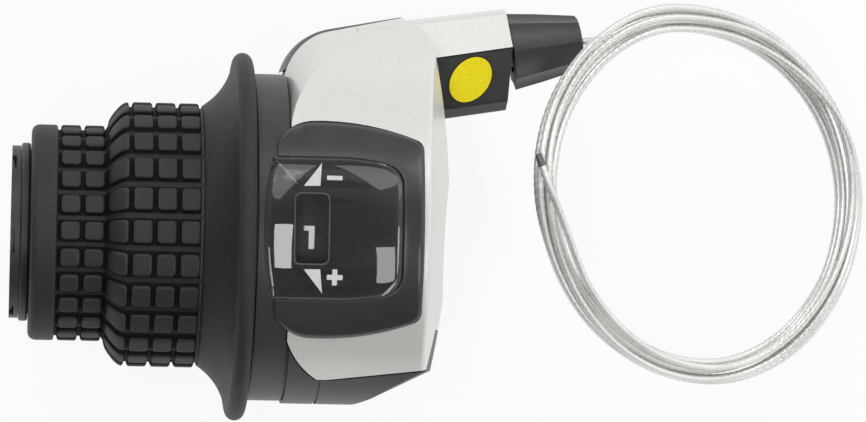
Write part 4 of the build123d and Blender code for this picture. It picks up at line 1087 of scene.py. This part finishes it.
class SHIFTER_OT_grip(bpy.types.Operator):
    """Mould the rubber cover with its rows of rounded blocks"""

    bl_idname = "shifter.grip"
    bl_label = "Rubber grip"

    def execute(self, context):
        settings = context.scene.shifter
        mesh = rubber_mesh(settings.grip)
        skin = rubber_finish(settings.finish, "grip_rubber_moulded", 0.42)
        # Second material for faces deep in the grooves: lower shine as painted shade, besides the painted
        # groove colour
        floor = rubber_finish(settings.finish, "grip_groove_painted_shade", 0.12)
        piece = new_piece("grip_cover", mesh, [skin, floor], "grip")
        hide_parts("grip_rubber")
        return {"FINISHED"}


class SHIFTER_OT_drive(bpy.types.Operator):
    """Finish the core, the drum, the spring and the inner cable"""

    bl_idname = "shifter.drive"
    bl_label = "Drum and inner cable"

    def execute(self, context):
        finish = context.scene.shifter.finish
        paint(plastic_finish("core_black", finish.black, 0.45), "grip_core")
        paint(plastic_finish("acetal_natural", finish.acetal, 0.40), "winding_drum", "cable_guide")
        paint(metal_finish("spring_bright", finish.steel, 0.25), "detent_spring")
        paint(metal_finish("nipple_cast", finish.brass, 0.42), "cable_nipple")
        paint(metal_finish("cable_bright", finish.steel, 0.30), "cable_wrap", "cable_run")
        return {"FINISHED"}


class SHIFTER_OT_adjuster(bpy.types.Operator):
    """Finish the cable adjuster and put the plain oval marker on the arm"""

    bl_idname = "shifter.adjuster"
    bl_label = "Cable adjuster"

    def execute(self, context):
        finish = context.scene.shifter.finish
        paint(plastic_finish("knob_black", finish.knob, 0.42, 0.3, 0.02), "adjuster_knob")
        paint(metal_finish("bolt_dark", finish.dark_steel, 0.35), "adjuster_bolt")
        self.stick_marker(context.scene.shifter.marker, finish)
        return {"FINISHED"}

    def stick_marker(self, marker, finish):
        """The plain oval marker on the arm's sloping face, with a thin dark border painted as the shadow
        round its edge.
        """
        base = NODES["clamp_base"]

        def face(s, v):
            spot = ARM_POINT + ARM_DIR * s + ARM_SIDE * v
            hit, place, _, _ = base.ray_cast(Vector((spot.x, spot.y, 0.1)), Vector((0.0, 0.0, -1.0)))
            if not hit:
                raise RuntimeError("the marker has no face under it")
            return place

        middle = face(marker.place, marker.side)
        along = (face(marker.place + MM, marker.side) - middle).normalized()
        normal = along.cross(face(marker.place, marker.side + MM) - middle).normalized()
        across = normal.cross(along)
        long = along * math.cos(marker.turn) + across * math.sin(marker.turn)
        short = normal.cross(long)
        around, lift = 72, marker.lift
        turns = [step * 2 * math.pi / around for step in range(around)]
        border = 1.0 + marker.border / marker.half_long
        profile = [(border, -0.05 * MM), (border, 0.5 * lift), (1.0, 0.55 * lift), (1.0, 0.9 * lift)]
        profile += [(0.985, lift), (0.7, lift), (0.35, lift)]
        points = []
        for share, height in profile:
            for one in turns:
                flat = long * marker.half_long * math.cos(one) + short * marker.half_short * math.sin(one)
                points.append(middle + flat * share + normal * height)
        faces = capped_tube(len(profile), around)
        mesh = mesh_of("arm_marker", points, faces, False)
        marks = np.ones(len(faces), np.int32)
        marks[: 2 * around] = 0
        marks[-2] = 0
        mesh.polygons.foreach_set("material_index", marks)
        # Dark border: painted shadow round the marker's edge
        dark = print_finish("marker_edge_painted_shadow", finish.plate)
        film = print_finish("marker_yellow", finish.yellow)
        new_piece("arm_marker", mesh, [dark, film], "housing")


class SHIFTER_OT_fasteners(bpy.types.Operator):
    """Finish the clamp bolt, its nut and the cover screws"""

    bl_idname = "shifter.fasteners"
    bl_label = "Fasteners"

    def execute(self, context):
        finish = context.scene.shifter.finish
        plated = metal_finish("fastener_plated", finish.dark_steel, 0.36)
        paint(plated, "clamp_bolt", "clamp_nut", "cover_screws")
        return {"FINISHED"}


class SHIFTER_OT_cable(bpy.types.Operator):
    """Lay the free inner cable from the knob round its coil"""

    bl_idname = "shifter.cable"
    bl_label = "Free cable"

    def execute(self, context):
        settings = context.scene.shifter
        cable = settings.cable
        points = coil_route(cable)
        line = line_of("cable_line", points, 14)
        steel = metal_finish("cable_strands", settings.finish.cable, 0.30, 2600.0, 0.6)
        fused = metal_finish("cable_tip_fused", [0.35 * part for part in settings.finish.steel], 0.5)
        mesh = strand_tube("free_cable", line, cable)
        piece = new_piece("free_cable", mesh, [steel, fused], "housing")
        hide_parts("cable_lead", "cable_coil")
        return {"FINISHED"}


class SHIFTER_OT_stage(bpy.types.Operator):
    """Set the pale floor, the soft light and the camera"""

    bl_idname = "shifter.stage"
    bl_label = "Stage"

    def execute(self, context):
        scene = context.scene
        stage = scene.shifter.stage
        scene.view_settings.view_transform = "Standard"
        self.lay_floor(scene)
        self.light_world(scene, stage)
        aim = Vector((stage.aim_x, stage.aim_y, 0.0))
        window = Vector((-12.0, 2.0, 26.0)) * MM
        # Name, way from the gear window, distance, size, turn in its plane and power
        lamps = (
            ("left_box", (-0.34, 0.67, 0.66), 0.75, (0.38, 0.38), -29.5, stage.left),
            ("right_box", (0.33, 0.73, 0.60), 0.75, (0.30, 0.30), 45.0, stage.right),
            ("camera_strip", (-0.23, -0.09, 0.97), 0.74, (0.09, 0.38), 0.0, stage.strip),
            ("right_strip", (0.38, -0.27, 0.885), 0.74, (0.10, 0.30), 0.0, stage.fill),
        )
        for name, way, far, size, spin, watts in lamps:
            self.hang_lamp(scene, name, window + Vector(way) * far, window, size, math.radians(spin), watts)
        self.place_camera(scene, stage, aim)
        return {"FINISHED"}

    def lay_floor(self, scene):
        """A pale floor that keeps the shadows and looks white to the camera and in reflections."""
        half = 1.2
        corners = [(-half, -half, 0.0), (half, -half, 0.0), (half, half, 0.0), (-half, half, 0.0)]
        mesh = bpy.data.meshes.new("floor")
        mesh.from_pydata(corners, [], [(0, 1, 2, 3)])
        floor = bpy.data.objects.new("floor", mesh)
        floor.location.z = FLOOR_Z
        scene.collection.objects.link(floor)
        made = Finish("floor_pale", Roughness=0.9)
        made.feed("Base Color", made.noise(8.0).mixed((0.88, 0.88, 0.88), (0.90, 0.90, 0.90)))
        rays = [made.tone.node("ShaderNodeLightPath", output=name) for name in SEEN_RAYS]
        seen = 0.90 * (rays[0] + rays[1] + rays[2]).between(0.0, 1.0)
        white = {"Color": (1.0, 1.0, 1.0, 1.0), "Strength": 1.0}
        made.mix(seen, made.tone.node("ShaderNodeEmission", None, white))
        mesh.materials.append(made.material)

    def light_world(self, scene, stage):
        """Light from all around, more of it from the front and the right, and white to the camera."""
        world = bpy.data.worlds.new("studio")
        world.use_nodes = True
        tree = world.node_tree
        tree.nodes.clear()
        tone = Tone(tree)
        seen = tone.node("ShaderNodeLightPath", output="Is Camera Ray")
        way = tone.node("ShaderNodeTexCoord", output="Generated")
        front = tone.node("ShaderNodeSeparateXYZ", None, {0: way}, "Y").between(-0.5, 0.9)
        right = tone.node("ShaderNodeSeparateXYZ", None, {0: way}, "X").between(0.2, 0.95)
        above = tone.node("ShaderNodeSeparateXYZ", None, {0: way}, "Z").between(0.7, 0.97)
        light = stage.world * (0.4 + 0.9 * front + 1.7 * right) * (1.0 - 0.7 * above)
        strength = light + (1.0 - light) * seen
        ground = tone.node("ShaderNodeBackground", None, {0: (1.0, 1.0, 1.0, 1.0), 1: strength})
        out = tree.nodes.new("ShaderNodeOutputWorld")
        tree.links.new(ground.socket, out.inputs[0])
        scene.world = world

    def hang_lamp(self, scene, name, place, aim, size, spin, watts):
        """A soft box that looks at the gear window."""
        lamp = bpy.data.lights.new(name, "AREA")
        lamp.shape = "RECTANGLE"
        lamp.size, lamp.size_y = size
        lamp.energy = watts
        holder = bpy.data.objects.new(name, lamp)
        back = (place - aim).normalized()
        side = (Vector((1.0, 0.0, 0.0)) - back * back.x).normalized()
        turn = Matrix((side, back.cross(side), back)).transposed() @ Matrix.Rotation(spin, 3, "Z")
        holder.matrix_world = Matrix.Translation(place) @ turn.to_4x4()
        holder.visible_camera = False
        scene.collection.objects.link(holder)

    def place_camera(self, scene, stage, aim):
        """The photograph's camera: nearly straight above, leaning towards the grip."""
        back = Vector((-math.sin(stage.tilt), 0.0, math.cos(stage.tilt)))
        up = Vector((-math.sin(stage.roll), math.cos(stage.roll), 0.0))
        right = up.cross(back).normalized()
        up = back.cross(right)
        data = bpy.data.cameras.new("camera")
        data.sensor_width = 36.0
        data.lens = stage.scale * stage.distance / MM * data.sensor_width / IMAGE[0]
        data.clip_end = 10.0
        camera = bpy.data.objects.new("camera", data)
        turn = Matrix((right, up, back)).transposed().to_4x4()
        camera.matrix_world = Matrix.Translation(aim + back * stage.distance) @ turn
        scene.collection.objects.link(camera)
        scene.camera = camera


class SHIFTER_PT_panel(bpy.types.Panel):
    """Lists the shifter's pieces and their settings"""

    bl_label = "Twist Grip Shifter"
    bl_idname = "SHIFTER_PT_panel"
    bl_space_type = "VIEW_3D"
    bl_region_type = "UI"
    bl_category = "Shifter"

    def draw(self, context):
        settings = context.scene.shifter
        for operator in OPERATORS:
            self.layout.operator(operator.bl_idname)
        for part in settings.__annotations__:
            group = getattr(settings, part)
            box = self.layout.box()
            for name in group.__annotations__:
                box.prop(group, name)


GROUPS = [
    GripSettings,
    WindowSettings,
    BezelSettings,
    MarkerSettings,
    CableSettings,
    FinishSettings,
    StageSettings,
    ShifterSettings,
]
OPERATORS = [
    SHIFTER_OT_housing,
    SHIFTER_OT_gear_window,
    SHIFTER_OT_grip,
    SHIFTER_OT_drive,
    SHIFTER_OT_adjuster,
    SHIFTER_OT_fasteners,
    SHIFTER_OT_cable,
    SHIFTER_OT_stage,
]


def register():
    """Adds the settings, the operators and the panel."""
    for one in (*GROUPS, *OPERATORS, SHIFTER_PT_panel):
        bpy.utils.register_class(one)
    bpy.types.Scene.shifter = PointerProperty(type=ShifterSettings)


def unregister():
    """Takes them away again."""
    del bpy.types.Scene.shifter
    for one in reversed((*GROUPS, *OPERATORS, SHIFTER_PT_panel)):
        bpy.utils.unregister_class(one)


def main():
    """Dresses the shifter."""
    register()
    for operator in OPERATORS:
        group, name = operator.bl_idname.split(".")
        getattr(getattr(bpy.ops, group), name)()


if __name__ == "__main__":
    main()
